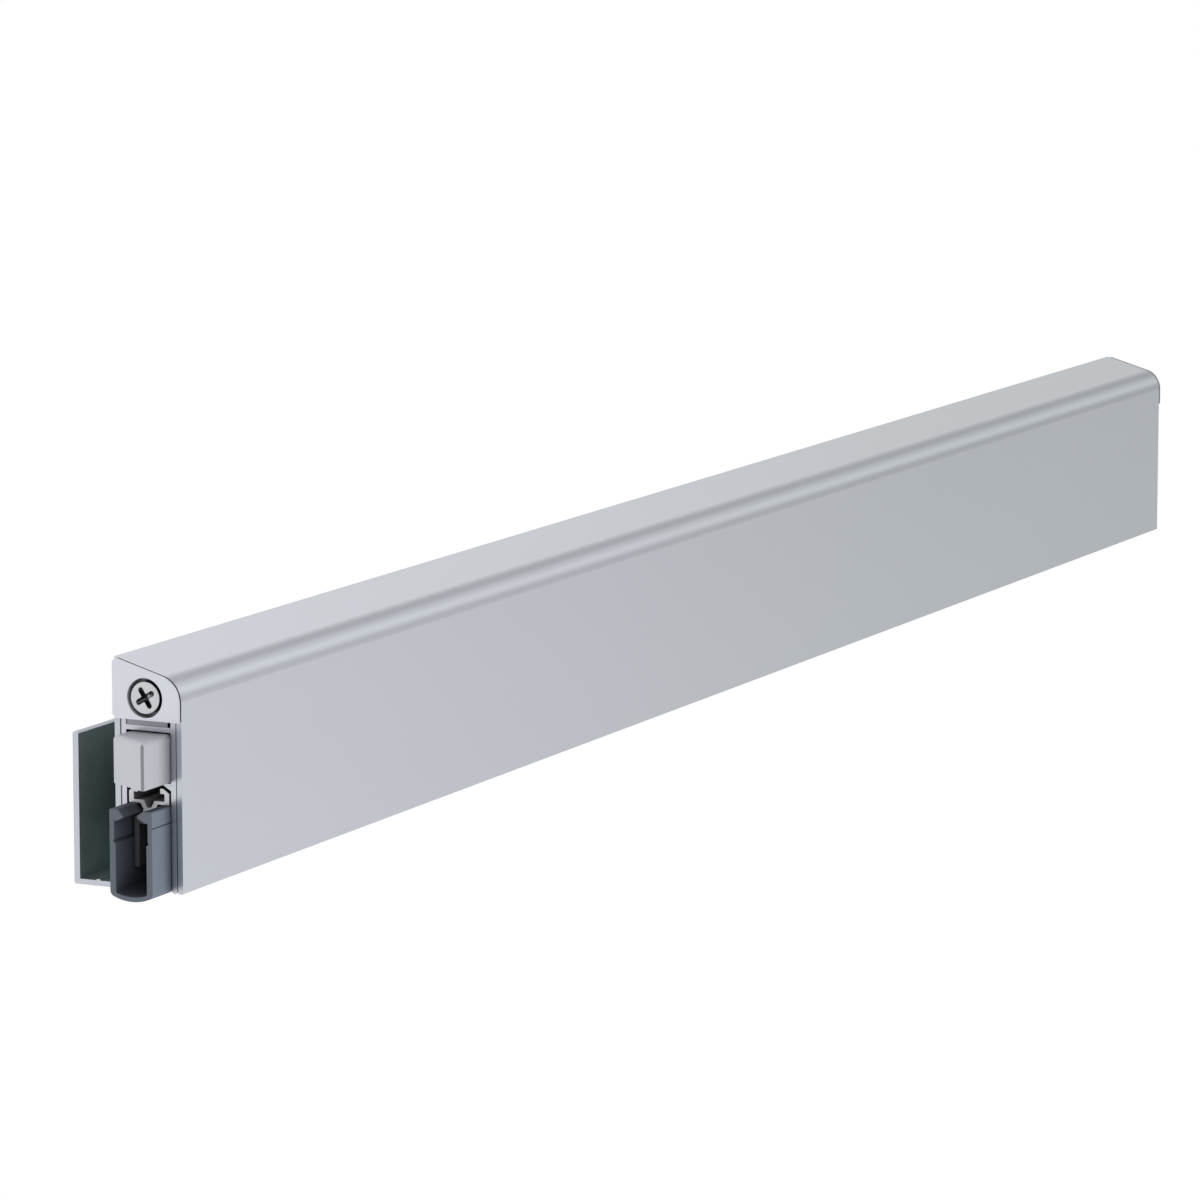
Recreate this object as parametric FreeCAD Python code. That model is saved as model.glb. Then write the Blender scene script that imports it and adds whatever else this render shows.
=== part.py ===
import FreeCAD, Part
import math
import os

# Automatic door bottom seal for a glass door leaf.
# A plunger at the hinge end meets the door frame as the door closes. It pushes a rod along the housing,
# the rod bows two leaf springs downwards, and the springs push a bar with a rubber profile to the floor.
#
# Sections are drawn in the YZ plane: y runs from the front of the cover to the leg behind the glass,
# z runs up from the underside of the extrusions, and x runs from the hinge end to the far end.
# The finished pieces are moved so that the origin lies under the glass, at mid-length.

Vector = FreeCAD.Vector

# Overall
length = 510.0             # sawn length of the three outer extrusions
edge_break = 0.20          # small chamfer along the lower edges of the extrusions
foot_round = 0.50          # rounding of the walls' lower edges where the cover meets the housing

# Glass channel
glass_thickness = 8.0
glass_clearance = 0.10     # spare width of the slot for the glass
web_wall = 1.20
leg_wall = 1.25
leg_height = 29.7
leg_chamfer = 0.45
leg_round = 0.45           # lower corner behind the glass
floor_wall = 1.05
rib_width = 0.80
rib_height = 0.25
web_bead_below_top = 1.10  # underside of the web's bead, below the cover's top plate

# Cover
cover_wall = 1.15
cover_corner_z = 40.83     # where the front face and the sloping top would meet
cover_slope = 15.6         # degrees
cover_radius = 5.0
cover_glass_gap = 0.13     # between the cover's upper edge and the glass
hook_wall = 0.60
arm_wall = 0.90            # carries the front hook
arm_rise = 0.50            # from the housing's front lip to the underside of the arm

# Seal housing
housing_width = 12.0
housing_wall = 1.15
cover_gap = 0.08           # between the cover's wall and the housing
joint_gap = 0.15           # between the housing and the web
deck_top = 31.95
deck_wall = 0.95
front_lip_top = 36.2
back_lip_top = 39.4
bead_reach = 0.25
bead_height = 0.70
snap_gap = 0.10            # play between a bead and the hook that snaps over it
catch_gap = 0.30           # between the underside of a bead and the barb that catches under it
catch_wall_gap = 0.07
hook_tail = 1.20           # from the barb's catch to the end of the hook
root = 0.30                # how far a rib's outline reaches into the wall that carries it
past = 1.0                 # how far a cutting form runs past the face that it cuts
ledge_top = 21.2
ledge_reach = 1.72
ledge_tip = 0.35
ledge_root = 1.40

# Screw port in the chamber above the housing's deck
port_y = 7.42
port_z = 37.45
port_bore_radius = 1.75
port_wall = 1.00
port_stem = 1.40
port_mouth = 1.60
port_setback = 0.20        # behind the end cap's plug

# End caps
cap_plate = 0.90
cap_underside = 33.15
cap_chamfer = 0.70
cap_flush_gap = 0.03       # keeps the cap's edge just inside the plane of the glass
rim_gap = 0.45             # shadow gap between the cap's rim and the ends of the extrusions
rim_depth = 0.70
plug_depth = 3.0
plug_front = 0.72          # from the housing's inner face to the foot of the plug
plug_gap = 0.10
plug_step = 0.30
plug_bevel = 0.50
plug_setback = 0.15        # of the plug's foot, below the plate
recess_radius = 3.85
recess_floor = 1.80        # thickness left under the screw's head
cap_hole_radius = 2.0

# Cap screws
screw_head_radius = 3.15
screw_head_height = 2.0
screw_shank_radius = 1.55
screw_length = 14.0
cross_span = 4.45
cross_width = 1.0
cross_depth = 1.6
cross_turn = 57.5          # degrees

# Rivets between the housing and the web
channel_rivet_radius = 1.5
channel_rivet_head_radius = 2.4
channel_rivet_head = 0.80
channel_rivet_z = 35.75
channel_rivet_count = 3
channel_rivet_tail = 0.70  # share of the web's wall that the upset tail takes
tail_inset = 0.02          # keeps the tail just below the face for the glass
channel_rivet_margin = 60.0
rivet_play = 0.08          # radial, in every riveted or pinned hole

# Release plunger
plunger_front_gap = 0.14
plunger_back_gap = 0.18
plunger_underside_gap = 0.30
plunger_height = 9.2
plunger_reach = 10.2       # how far the nose's leading edge stands out at rest
plunger_rake = 5.2         # the nose falls back this much across its width
plunger_inside = 26.0
plunger_edge = 0.50        # bevel along the nose's leading edge
plunger_bevel_lean = 0.55  # its depth along x, as a share of its width
plunger_rounding = 0.90
spindle_bore_play = 0.10

# Spindle, nut and push rod
spindle_radius = 2.5
spindle_depth = 16.0       # inside the plunger's bore
spindle_hold = 9.0         # inside the rod end
thread_runout = 0.5
spindle_slot = 0.80
spindle_slot_depth = 1.2
nut_across_flats = 8.0
nut_height = 2.7
rod_width = 6.0
rod_height = 3.0
rod_deck_gap = 0.85
rod_end_start = 36.0
rod_end_length = 22.0
rod_end_width = 8.6
rod_slot_depth = 9.0
rod_slot_play = 0.05
rod_overrun = 4.0          # past the far anchor

# Leaf springs and what holds them
spring_near_gap = 4.95     # between the rod end and the near slider
spring_far_margin = 59.95  # between the far anchor and the far end
spring_span = 92.0         # between the slider's face and the anchor's face
spring_width = 5.0
spring_sheet = 0.40
spring_tab = 8.0           # flat end held in a slider or an anchor
spring_flat = 9.0          # flat middle on the hanger
spring_end_z = 24.5
spring_drop = 2.9          # depth of the bow at rest
spring_slot_play = 0.15
tab_hole_play = 0.30

slider_length = 16.0
slider_width = 8.6
slider_ledge_gap = 0.30
anchor_length = 19.0
anchor_wall_gap = 0.10
anchor_ledge_gap = 0.05
anchor_deck_gap = 0.10
groove_play = 0.32
anchor_pin_radius = 1.0
anchor_pin_z = 22.75
anchor_pin_place = 13.0
anchor_sink_play = 0.05
anchor_pin_inset = 0.10
rivet_radius = 1.1
rivet_head_radius = 1.8
rivet_head = 0.45
tab_rivet_place = 4.4      # from the face that the tab enters

# Drop bar, a section that is symmetric about the middle of the housing
bar_half = 4.375
bar_wall = 1.00
bar_floor_under = 17.0
bar_floor = 0.62
bar_top = 20.10
bar_lip_half = 2.45
bar_lip_wall = 1.00
bar_slope_width = 1.25
bar_slope_height = 0.85
funnel_half_top = 1.15
funnel_half_bottom = 0.45
funnel_bottom = 16.2
neck_start_half = 1.90
neck_half = 1.30
neck_top = 15.95
keel_shoulder = 15.35
keel_half = 2.75
keel_edge_top = 14.35
keel_bottom = 13.75

# Rubber profile, on the same axis
seal_half = 4.65
seal_near_overhang = 7.0
seal_far_overhang = 4.0
seal_top = 16.90
seal_edge_z = 0.40
seal_low_z = -0.75
seal_bottom_wall = 0.95
seal_upper_wall = 1.0
seal_lower_wall = 1.30
seal_hollow_edge = 0.75
hinge_line_z = 10.7
hinge_line_depth = 0.55
hinge_line_half = 0.35
score_z = 13.7
score_depth = 0.18
score_half = 0.14
barb_tip_half = 1.70
barb_tip_z = 15.55
barb_tip_edge = 0.20
barb_top_half = 2.75
barb_root_half = 3.05
barb_root_z = 14.65

# Clips on the bar's keel, at both ends, that spread the rubber's walls
clip_length = 15.0
clip_bridge = 0.80
clip_leg_wall = 1.05
clip_leg_bottom = 4.55
clip_wall_gap = 0.06       # between a leg and the rubber's wall
clip_arm_gap = 0.08        # between an arm and the keel's edge
clip_arm_top = 14.40

# Hangers in the bar's channel
hanger_half_length = 8.0
hanger_neck_half_length = 6.0
hanger_foot_play = 0.20
hanger_neck_half = 2.20
hanger_seat_gap = 0.05
hanger_rivet_depth = 3.0

# Planes worked out from the sizes above
housing_front = cover_wall + cover_gap
inner_front = housing_front + housing_wall
housing_back = housing_front + housing_width
inner_back = housing_back - housing_wall
mid_y = (inner_front + inner_back) / 2
web_front = housing_back + joint_gap
glass_front = web_front + web_wall
glass_back = glass_front + glass_thickness + glass_clearance
depth = glass_back + leg_wall
glass_mid = (glass_front + glass_back) / 2
seat_z = floor_wall + rib_height
deck_under = deck_top - deck_wall
slope = math.radians(cover_slope)
plate_drop = cover_wall / math.cos(slope)
rod_top = deck_under - rod_deck_gap
rod_under = rod_top - rod_height
spring_mid_z = spring_end_z - spring_drop
bar_floor_top = bar_floor_under + bar_floor
hanger_top = spring_mid_z - hanger_seat_gap
rod_end_stop = rod_end_start + rod_end_length
origin = Vector(length / 2, glass_mid, seat_z)


def outline(points):
    """Face in the YZ plane from (y, z) corners; a third value rounds that corner."""
    corners = []
    count = len(points)
    for i in range(count):
        here = Vector(0, points[i][0], points[i][1])
        if len(points[i]) == 2:
            corners.append((here, None, here))
            continue
        radius = points[i][2]
        before = Vector(0, *points[i - 1][:2]) - here
        after = Vector(0, *points[(i + 1) % count][:2]) - here
        before.normalize()
        after.normalize()
        half = before.getAngle(after) / 2
        reach = radius / math.tan(half)
        inward = (before + after).normalize()
        middle = here + inward * (radius / math.sin(half) - radius)
        corners.append((here + before * reach, middle, here + after * reach))
    edges = []
    for i in range(count):
        start, middle, end = corners[i]
        if middle is not None:
            edges.append(Part.Arc(start, middle, end).toShape())
        edges.append(Part.makeLine(end, corners[(i + 1) % count][0]))
    return Part.Face(Part.Wire(edges))


def run(points, x0, x1):
    """Extrusion of an outline along the length, from x0 to x1."""
    face = outline(points)
    face.translate(Vector(x0, 0, 0))
    return face.extrude(Vector(x1 - x0, 0, 0))


def block(x0, x1, y0, y1, z0, z1):
    return Part.makeBox(x1 - x0, y1 - y0, z1 - z0, Vector(x0, y0, z0))


def pin_x(radius, x0, x1, y, z):
    return Part.makeCylinder(radius, x1 - x0, Vector(x0, y, z), Vector(1, 0, 0))


def pin_y(radius, y0, y1, x, z):
    return Part.makeCylinder(radius, y1 - y0, Vector(x, y0, z), Vector(0, 1, 0))


def pin_z(radius, z0, z1, x, y):
    return Part.makeCylinder(radius, z1 - z0, Vector(x, y, z0), Vector(0, 0, 1))


def fused(first, *others):
    return first.fuse(list(others)).removeSplitter()


def both_sides(half_points):
    """Points given as (distance from the middle plane, z), made into a closed symmetric outline."""
    right = [(mid_y + p[0], p[1]) for p in half_points]
    left = [(mid_y - p[0], p[1]) for p in reversed(half_points) if p[0] > 0]
    return right + left


def cover_top(y):
    """Height of the cover's sloping top over a point y."""
    return cover_corner_z + y * math.tan(slope)


def cover_ceiling(y):
    """Height of the underside of the cover's top plate."""
    return cover_top(y) - plate_drop


def at_far_end(shape):
    """The same piece at the far end, as a mirror image about mid-length."""
    return shape.mirror(Vector(length / 2, 0, 0), Vector(1, 0, 0))


def channel_rivet_xs():
    pitch = (length - 2 * channel_rivet_margin) / (channel_rivet_count - 1)
    return [channel_rivet_margin + i * pitch for i in range(channel_rivet_count)]


def spring_xs():
    """Middles of the two springs: one follows the rod end, the other is set from the far end."""
    near = rod_end_stop + spring_near_gap + slider_length + spring_span / 2
    far = length - spring_far_margin - anchor_length - spring_span / 2
    return [near, far]


def slider_face(centre):
    return centre - spring_span / 2


def anchor_face(centre):
    return centre + spring_span / 2


# Outer extrusions

def bead(wall_face, towards, top):
    """Snap bead on a wall's edge, pointing to the side given by towards (+1 or -1)."""
    tip = wall_face + towards * bead_reach
    return [(wall_face - towards * root, top), (tip, top), (tip, top - bead_height / 2),
            (wall_face, top - bead_height), (wall_face - towards * root, top - bead_height)]


def web_bead_top():
    return cover_ceiling(web_front) - web_bead_below_top + bead_height


def glass_channel():
    c = edge_break
    web_top = web_bead_top()
    web = [(web_front + c, 0), (web_front, c), (web_front, web_top), (glass_front, web_top),
           (glass_front, 0)]
    floor = [(glass_front - root, 0), (glass_front - root, floor_wall), (glass_back + root, floor_wall),
             (glass_back + root, 0)]
    leg = [(glass_back, 0), (glass_back, leg_height - leg_chamfer), (glass_back + leg_chamfer, leg_height),
           (depth - leg_chamfer, leg_height), (depth, leg_height - leg_chamfer), (depth, 0, leg_round)]
    rib = [(glass_mid - rib_width / 2, floor_wall / 2), (glass_mid - rib_width / 2, seat_z),
           (glass_mid + rib_width / 2, seat_z), (glass_mid + rib_width / 2, floor_wall / 2)]
    sections = [web, floor, leg, rib, bead(web_front, -1, web_top)]
    shape = fused(*[run(points, 0, length) for points in sections])
    for x in channel_rivet_xs():
        hole = pin_y(channel_rivet_radius + rivet_play, web_front - past, glass_front + past, x,
                     channel_rivet_z)
        shape = shape.cut(hole.fuse(rivet_tail(x, rivet_play, 0)))
    return shape


def rivet_tail(x, play, inset):
    """Cone of an upset rivet end that stops short of the web's bonding face by inset."""
    height = web_wall * channel_rivet_tail
    small = channel_rivet_radius + play
    return Part.makeCone(small, small + height - inset, height - inset,
                         Vector(x, glass_front - height, channel_rivet_z), Vector(0, 1, 0))


def seal_housing():
    c = edge_break
    front = [(housing_front, 0, foot_round), (housing_front, front_lip_top), (inner_front, front_lip_top),
             (inner_front, 0, foot_round)]
    back = [(inner_back + c, 0), (inner_back, c), (inner_back, back_lip_top), (housing_back, back_lip_top),
            (housing_back, c), (housing_back - c, 0)]
    deck = [(inner_front - root, deck_under), (inner_front - root, deck_top), (inner_back + root, deck_top),
            (inner_back + root, deck_under)]
    tip = ledge_top - ledge_tip
    ledge = [(inner_front - root, ledge_top), (inner_front + ledge_reach, ledge_top),
             (inner_front + ledge_reach, tip), (inner_front, ledge_top - ledge_root),
             (inner_front - root, ledge_top - ledge_root)]
    mirrored_ledge = [(2 * mid_y - y, z) for y, z in ledge]
    sections = [front, back, deck, ledge, mirrored_ledge, bead(inner_front, 1, front_lip_top)]
    shape = fused(*[run(points, 0, length) for points in sections], screw_port())
    for x in channel_rivet_xs():
        hole = pin_y(channel_rivet_radius + rivet_play, inner_back - past, housing_back + past, x,
                     channel_rivet_z)
        shape = shape.cut(hole)
    for centre in spring_xs():
        x = anchor_face(centre) + anchor_pin_place
        shape = shape.cut(pin_y(anchor_pin_radius + rivet_play, 0, web_front, x, anchor_pin_z))
    return shape


def screw_port():
    """C-shaped channel on the deck that the cap screws cut their thread in."""
    x0 = plug_depth + port_setback
    x1 = length - x0
    radius = port_bore_radius + port_wall
    ring = pin_x(radius, x0, x1, port_y, port_z)
    stem = block(x0, x1, port_y - port_stem / 2, port_y + port_stem / 2, deck_top - root, port_z)
    bore = pin_x(port_bore_radius, x0, x1, port_y, port_z)
    mouth = block(x0, x1, port_y - port_mouth / 2, port_y + port_mouth / 2, port_z,
                  port_z + radius + past)
    return ring.fuse(stem).cut(bore).cut(mouth)


def hook_catch(lip_top):
    """Height at which a hook catches under a lip's bead."""
    return lip_top - bead_height - catch_gap


def cover_hook(wall_face, towards, lip_top, root_z):
    """Hook that hangs inside a snap lip; its barb catches under the lip's bead."""
    inner = wall_face + towards * (bead_reach + snap_gap)
    far = inner + towards * hook_wall
    barb = wall_face + towards * catch_wall_gap
    catch = hook_catch(lip_top)
    return [(inner, root_z), (far, root_z), (far, catch - hook_tail), (inner, catch - hook_tail),
            (barb, catch - hook_tail / 2), (barb, catch), (inner, catch)]


def front_hook_back():
    """Face of the front hook that looks into the chamber."""
    return inner_front + bead_reach + snap_gap + hook_wall


def cover_profile():
    c = edge_break
    edge = glass_front - cover_glass_gap
    shell = [(c, 0), (0, c), (0, cover_corner_z, cover_radius), (edge, cover_top(edge)),
             (edge, cover_ceiling(edge)),
             (cover_wall, cover_ceiling(cover_wall), cover_radius - cover_wall),
             (cover_wall, 0, foot_round)]
    arm_under = front_lip_top + arm_rise
    arm_top = arm_under + arm_wall
    arm = [(cover_wall - root, arm_under), (cover_wall - root, arm_top), (front_hook_back(), arm_top),
           (front_hook_back(), arm_under)]
    front_hook = cover_hook(inner_front, 1, front_lip_top, arm_top)
    back_root = cover_ceiling(web_front)
    back_hook = cover_hook(web_front, -1, web_bead_top(), back_root)
    sections = [shell, arm, front_hook, back_hook]
    return fused(*[run(points, 0, length) for points in sections])


# End caps and their screws

def cap_outline(inset):
    """Outline of the cap's plate, drawn in from the cover's outline by inset."""
    front = inset
    edge = glass_front - cap_flush_gap - inset
    down = inset / math.cos(slope)
    c = cap_chamfer
    return [(front, cap_underside), (front, cover_top(front) - down, cover_radius - inset),
            (edge - c, cover_top(edge - c) - down), (edge, cover_top(edge - c) - down - c),
            (edge, cap_underside + c), (edge - c, cap_underside)]


def end_cap():
    """Plate over the ends of the extrusions, with a plug in the chamber above the housing's deck."""
    rim = run(cap_outline(0), -cap_plate, -rim_gap)
    neck = run(cap_outline(rim_depth), -rim_gap, 0)
    foot_front = inner_front + plug_front
    foot_top = hook_catch(front_lip_top) - hook_tail - plug_gap - plug_step
    front = front_hook_back() + plug_gap
    back = inner_back - plug_gap
    plug = run([(foot_front, deck_top), (foot_front, foot_top), (front, foot_top + plug_step),
                (front, cover_ceiling(front) - plug_bevel),
                (front + plug_bevel, cover_ceiling(front + plug_bevel) - plug_gap),
                (back, cover_ceiling(back) - plug_gap), (back, deck_top)], 0, plug_depth)
    foot = block(-past, plug_setback, 0, depth, 0, cap_underside)
    recess = pin_x(recess_radius, -cap_plate - past, plug_depth - recess_floor, port_y, port_z)
    hole = pin_x(cap_hole_radius, -past, plug_depth + past, port_y, port_z)
    return fused(rim, neck, plug.cut(foot)).cut(recess).cut(hole)


def cap_screw():
    seat = plug_depth - recess_floor
    face = seat - screw_head_height
    head = pin_x(screw_head_radius, face, seat, port_y, port_z)
    shank = pin_x(screw_shank_radius, seat, seat + screw_length, port_y, port_z)
    screw = fused(head, shank)
    for turn in (cross_turn, cross_turn + 90):
        arm = block(face - past, face + cross_depth, port_y - cross_span / 2, port_y + cross_span / 2,
                    port_z - cross_width / 2, port_z + cross_width / 2)
        arm.rotate(Vector(0, port_y, port_z), Vector(1, 0, 0), turn)
        screw = screw.cut(arm)
    return screw


def channel_rivets():
    """Rivets with a flat head in the chamber and a tail upset flush in the web's countersink."""
    rivets = []
    for x in channel_rivet_xs():
        head = pin_y(channel_rivet_head_radius, inner_back - channel_rivet_head, inner_back, x,
                     channel_rivet_z)
        shank = pin_y(channel_rivet_radius, inner_back, glass_front - tail_inset, x, channel_rivet_z)
        rivets.append(fused(head, shank, rivet_tail(x, 0, tail_inset)))
    return Part.makeCompound(rivets)


# Plunger, spindle and push rod

def release_plunger():
    """Guided block whose slanted nose rides on the door frame."""
    front = inner_front + plunger_front_gap
    back = inner_back - plunger_back_gap
    low = ledge_top + plunger_underside_gap
    high = low + plunger_height
    nose = -plunger_reach
    bevel = plunger_edge * plunger_bevel_lean
    body = upright([(nose, front), (nose + plunger_rake, back), (plunger_inside, back),
                    (plunger_inside, front)], low, high)
    body = body.makeFillet(plunger_rounding, [edge for edge in body.Edges if is_upper_rim(edge, high)])
    wedge = upright([(nose + bevel, front - past / 10), (nose + bevel, front),
                     (nose, front + plunger_edge), (nose - past, front + plunger_edge),
                     (nose - past, front - past / 10)], low - past, high + past)
    bore = pin_x(spindle_radius + spindle_bore_play, plunger_inside - spindle_depth, plunger_inside + past,
                 mid_y, (low + high) / 2)
    return body.cut(wedge).cut(bore)


def upright(corners, low, high):
    """Prism over an outline given as (x, y) corners."""
    points = [Vector(x, y, low) for x, y in corners]
    return Part.Face(Part.makePolygon(points + points[:1])).extrude(Vector(0, 0, high - low))


def is_upper_rim(edge, z):
    """True for an edge of the plunger's top face, apart from the one on its inner end."""
    level = all(abs(v.Z - z) < 1e-6 for v in edge.Vertexes)
    return level and any(v.X < plunger_inside - 1e-6 for v in edge.Vertexes)


def plunger_mid_z():
    return ledge_top + plunger_underside_gap + plunger_height / 2


def adjusting_spindle():
    x0 = plunger_inside - spindle_depth
    x1 = rod_end_start + spindle_hold
    z = plunger_mid_z()
    body = pin_x(spindle_radius, x0, x1, mid_y, z)
    slot = block(x0 - past, x0 + spindle_slot_depth, mid_y - spindle_radius - past,
                 mid_y + spindle_radius + past, z - spindle_slot / 2, z + spindle_slot / 2)
    return body.cut(slot)


def lock_nut():
    """Hexagon nut tightened against the rod end."""
    z = plunger_mid_z()
    corner = nut_across_flats / math.sqrt(3)
    ring = []
    for i in range(7):
        angle = math.radians(60 * i + 30)
        ring.append(Vector(rod_end_start - nut_height, mid_y + corner * math.sin(angle),
                           z + corner * math.cos(angle)))
    body = Part.Face(Part.makePolygon(ring)).extrude(Vector(nut_height, 0, 0))
    return body.cut(pin_x(spindle_radius + rivet_play, 0, rod_end_start + past, mid_y, z))


def rod_end():
    """Block with the spindle's thread in its face and a slot for the rod in its back."""
    low = ledge_top + slider_ledge_gap
    body = block(rod_end_start, rod_end_stop, mid_y - rod_end_width / 2, mid_y + rod_end_width / 2,
                 low, rod_top + rod_slot_play)
    thread = pin_x(spindle_radius + rivet_play, rod_end_start - past,
                   rod_end_start + spindle_hold + thread_runout, mid_y, plunger_mid_z())
    half = rod_width / 2 + rod_slot_play
    slot = block(rod_end_stop - rod_slot_depth, rod_end_stop + past, mid_y - half, mid_y + half, rod_under,
                 rod_top + past)
    hole = pin_z(rivet_radius + rivet_play, low - past, rod_top + past, rod_end_rivet_x(), mid_y)
    return body.cut(thread).cut(slot).cut(hole)


def rod_end_rivet_x():
    return rod_end_stop - rod_slot_depth / 2


def rod_rivet_xs():
    return [rod_end_rivet_x()] + [slider_face(centre) - tab_rivet_place for centre in spring_xs()]


def push_rod():
    x0 = rod_end_stop - rod_slot_depth + rod_slot_play
    x1 = anchor_face(spring_xs()[-1]) + anchor_length + rod_overrun
    body = block(x0, x1, mid_y - rod_width / 2, mid_y + rod_width / 2, rod_under, rod_top)
    for x in rod_rivet_xs():
        body = body.cut(pin_z(rivet_radius + rivet_play, rod_under - past, rod_top + past, x, mid_y))
    return body


def slider(centre):
    """Block riveted under the rod; the near end of a spring lies in its slot."""
    x1 = slider_face(centre)
    x0 = x1 - slider_length
    low = ledge_top + slider_ledge_gap
    body = block(x0, x1, mid_y - slider_width / 2, mid_y + slider_width / 2, low, rod_under)
    hole = pin_z(rivet_radius + rivet_play, low - past, rod_under + past, x1 - tab_rivet_place, mid_y)
    return body.cut(tab_slot(x1 - spring_tab - tab_hole_play, x1 + past)).cut(hole)


def tab_slot(x0, x1):
    """Slot for a spring's flat end."""
    half = spring_width / 2 + spring_slot_play
    return block(x0, x1, mid_y - half, mid_y + half, spring_end_z - spring_slot_play,
                 spring_end_z + spring_sheet + spring_slot_play)


def rivet_between(low, high, x):
    """Rivet through a stack from low to high, with a flat head on top."""
    shank = pin_z(rivet_radius, low, high, x, mid_y)
    return shank.fuse(pin_z(rivet_head_radius, high, high + rivet_head, x, mid_y)).removeSplitter()


def rod_rivets():
    low = ledge_top + slider_ledge_gap
    return Part.makeCompound([rivet_between(low, rod_top, x) for x in rod_rivet_xs()])


# Springs and anchors

def leaf_spring(centre):
    """Bowed strip: flat ends, a flat middle and two S-shaped flanks between them."""
    upper = []
    lower = []
    flank = (spring_span - spring_flat) / 2
    steps = 6
    for side in (-1, 1):
        for i in range(steps + 1):
            share = i / steps if side < 0 else 1 - i / steps
            x = centre + side * (spring_flat / 2 + flank * (1 - share))
            fall = spring_drop * (1 - math.cos(math.pi * share)) / 2
            lower.append(Vector(x, 0, spring_end_z - fall))
            upper.append(Vector(x, 0, spring_end_z + spring_sheet - fall))
    start = centre - spring_span / 2 - spring_tab
    stop = centre + spring_span / 2 + spring_tab
    lower = [Vector(start, 0, spring_end_z)] + lower + [Vector(stop, 0, spring_end_z)]
    upper = [Vector(start, 0, spring_end_z + spring_sheet)] + upper
    upper.append(Vector(stop, 0, spring_end_z + spring_sheet))
    loop = lower + upper[::-1] + lower[:1]
    strip = Part.Face(Part.makePolygon(loop)).extrude(Vector(0, spring_width, 0))
    strip.translate(Vector(0, mid_y - spring_width / 2, 0))
    for x in (slider_face(centre) - tab_rivet_place, centre, anchor_face(centre) + tab_rivet_place):
        strip = strip.cut(pin_z(rivet_radius + tab_hole_play, 0, deck_under, x, mid_y))
    return strip


def anchor_low():
    return ledge_top + anchor_ledge_gap


def anchor_floor():
    """Floor of the groove that the push rod runs in."""
    return rod_under - groove_play


def anchor(centre):
    """Block pinned across the housing; it holds a spring's far end and guides the rod."""
    x0 = anchor_face(centre)
    x1 = x0 + anchor_length
    body = block(x0, x1, inner_front + anchor_wall_gap, inner_back - anchor_wall_gap, anchor_low(),
                 deck_under - anchor_deck_gap)
    half = rod_width / 2 + groove_play
    groove = block(x0 - past, x1 + past, mid_y - half, mid_y + half, anchor_floor(), deck_under)
    body = body.cut(groove).cut(tab_slot(x0 - past, x0 + spring_tab + tab_hole_play))
    body = body.cut(pin_z(rivet_radius + rivet_play, 0, deck_under, x0 + tab_rivet_place, mid_y))
    sink = pin_z(rivet_head_radius + rivet_play, anchor_sink(), deck_under, x0 + tab_rivet_place, mid_y)
    cross_hole = pin_y(anchor_pin_radius + rivet_play, 0, depth, x0 + anchor_pin_place, anchor_pin_z)
    return body.cut(sink).cut(cross_hole)


def anchor_sink():
    """Floor of the sink for a rivet's head, below the groove of the push rod."""
    return anchor_floor() - rivet_head - anchor_sink_play


def anchor_rivets():
    xs = [anchor_face(centre) + tab_rivet_place for centre in spring_xs()]
    return Part.makeCompound([rivet_between(anchor_low(), anchor_sink(), x) for x in xs])


def anchor_pins():
    y0 = housing_front + anchor_pin_inset
    y1 = housing_back - anchor_pin_inset
    xs = [anchor_face(centre) + anchor_pin_place for centre in spring_xs()]
    return Part.makeCompound([pin_y(anchor_pin_radius, y0, y1, x, anchor_pin_z) for x in xs])


# Drop bar, rubber profile and hangers

def drop_bar():
    inner = bar_half - bar_wall
    half = [(0, funnel_bottom), (funnel_half_bottom, funnel_bottom), (funnel_half_top, bar_floor_top),
            (inner, bar_floor_top), (inner, bar_top - bar_lip_wall), (bar_lip_half, bar_top - bar_lip_wall),
            (bar_lip_half, bar_top), (bar_half - bar_slope_width, bar_top),
            (bar_half, bar_top - bar_slope_height),
            (bar_half, bar_floor_under), (neck_start_half, bar_floor_under), (neck_half, neck_top),
            (neck_half, keel_shoulder), (keel_half, keel_edge_top), (keel_half, keel_bottom),
            (0, keel_bottom)]
    return run(both_sides(half), 0, length)


def seal_clip():
    """Clip whose arms hold the keel's edges; its legs stand along the inside of the rubber's walls."""
    outer = seal_half - seal_lower_wall - clip_wall_gap
    arm = keel_half + clip_arm_gap
    leg = outer - clip_leg_wall
    half = [(0, keel_bottom), (arm, keel_bottom), (arm, clip_arm_top), (outer, clip_arm_top),
            (outer, clip_leg_bottom), (leg, clip_leg_bottom), (leg, keel_bottom - clip_bridge),
            (0, keel_bottom - clip_bridge)]
    return run(both_sides(half), 0, clip_length)


def arc_slab(half_width, edge_z, low_z, roof_z):
    """Face below roof_z whose underside is an arc from edge to edge through low_z."""
    left = Vector(0, mid_y - half_width, edge_z)
    right = Vector(0, mid_y + half_width, edge_z)
    arc = Part.Arc(left, Vector(0, mid_y, low_z), right).toShape()
    up_right = Vector(0, mid_y + half_width, roof_z)
    up_left = Vector(0, mid_y - half_width, roof_z)
    sides = [Part.makeLine(right, up_right), Part.makeLine(up_right, up_left), Part.makeLine(up_left, left)]
    return Part.Face(Part.Wire([arc] + sides))


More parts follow.
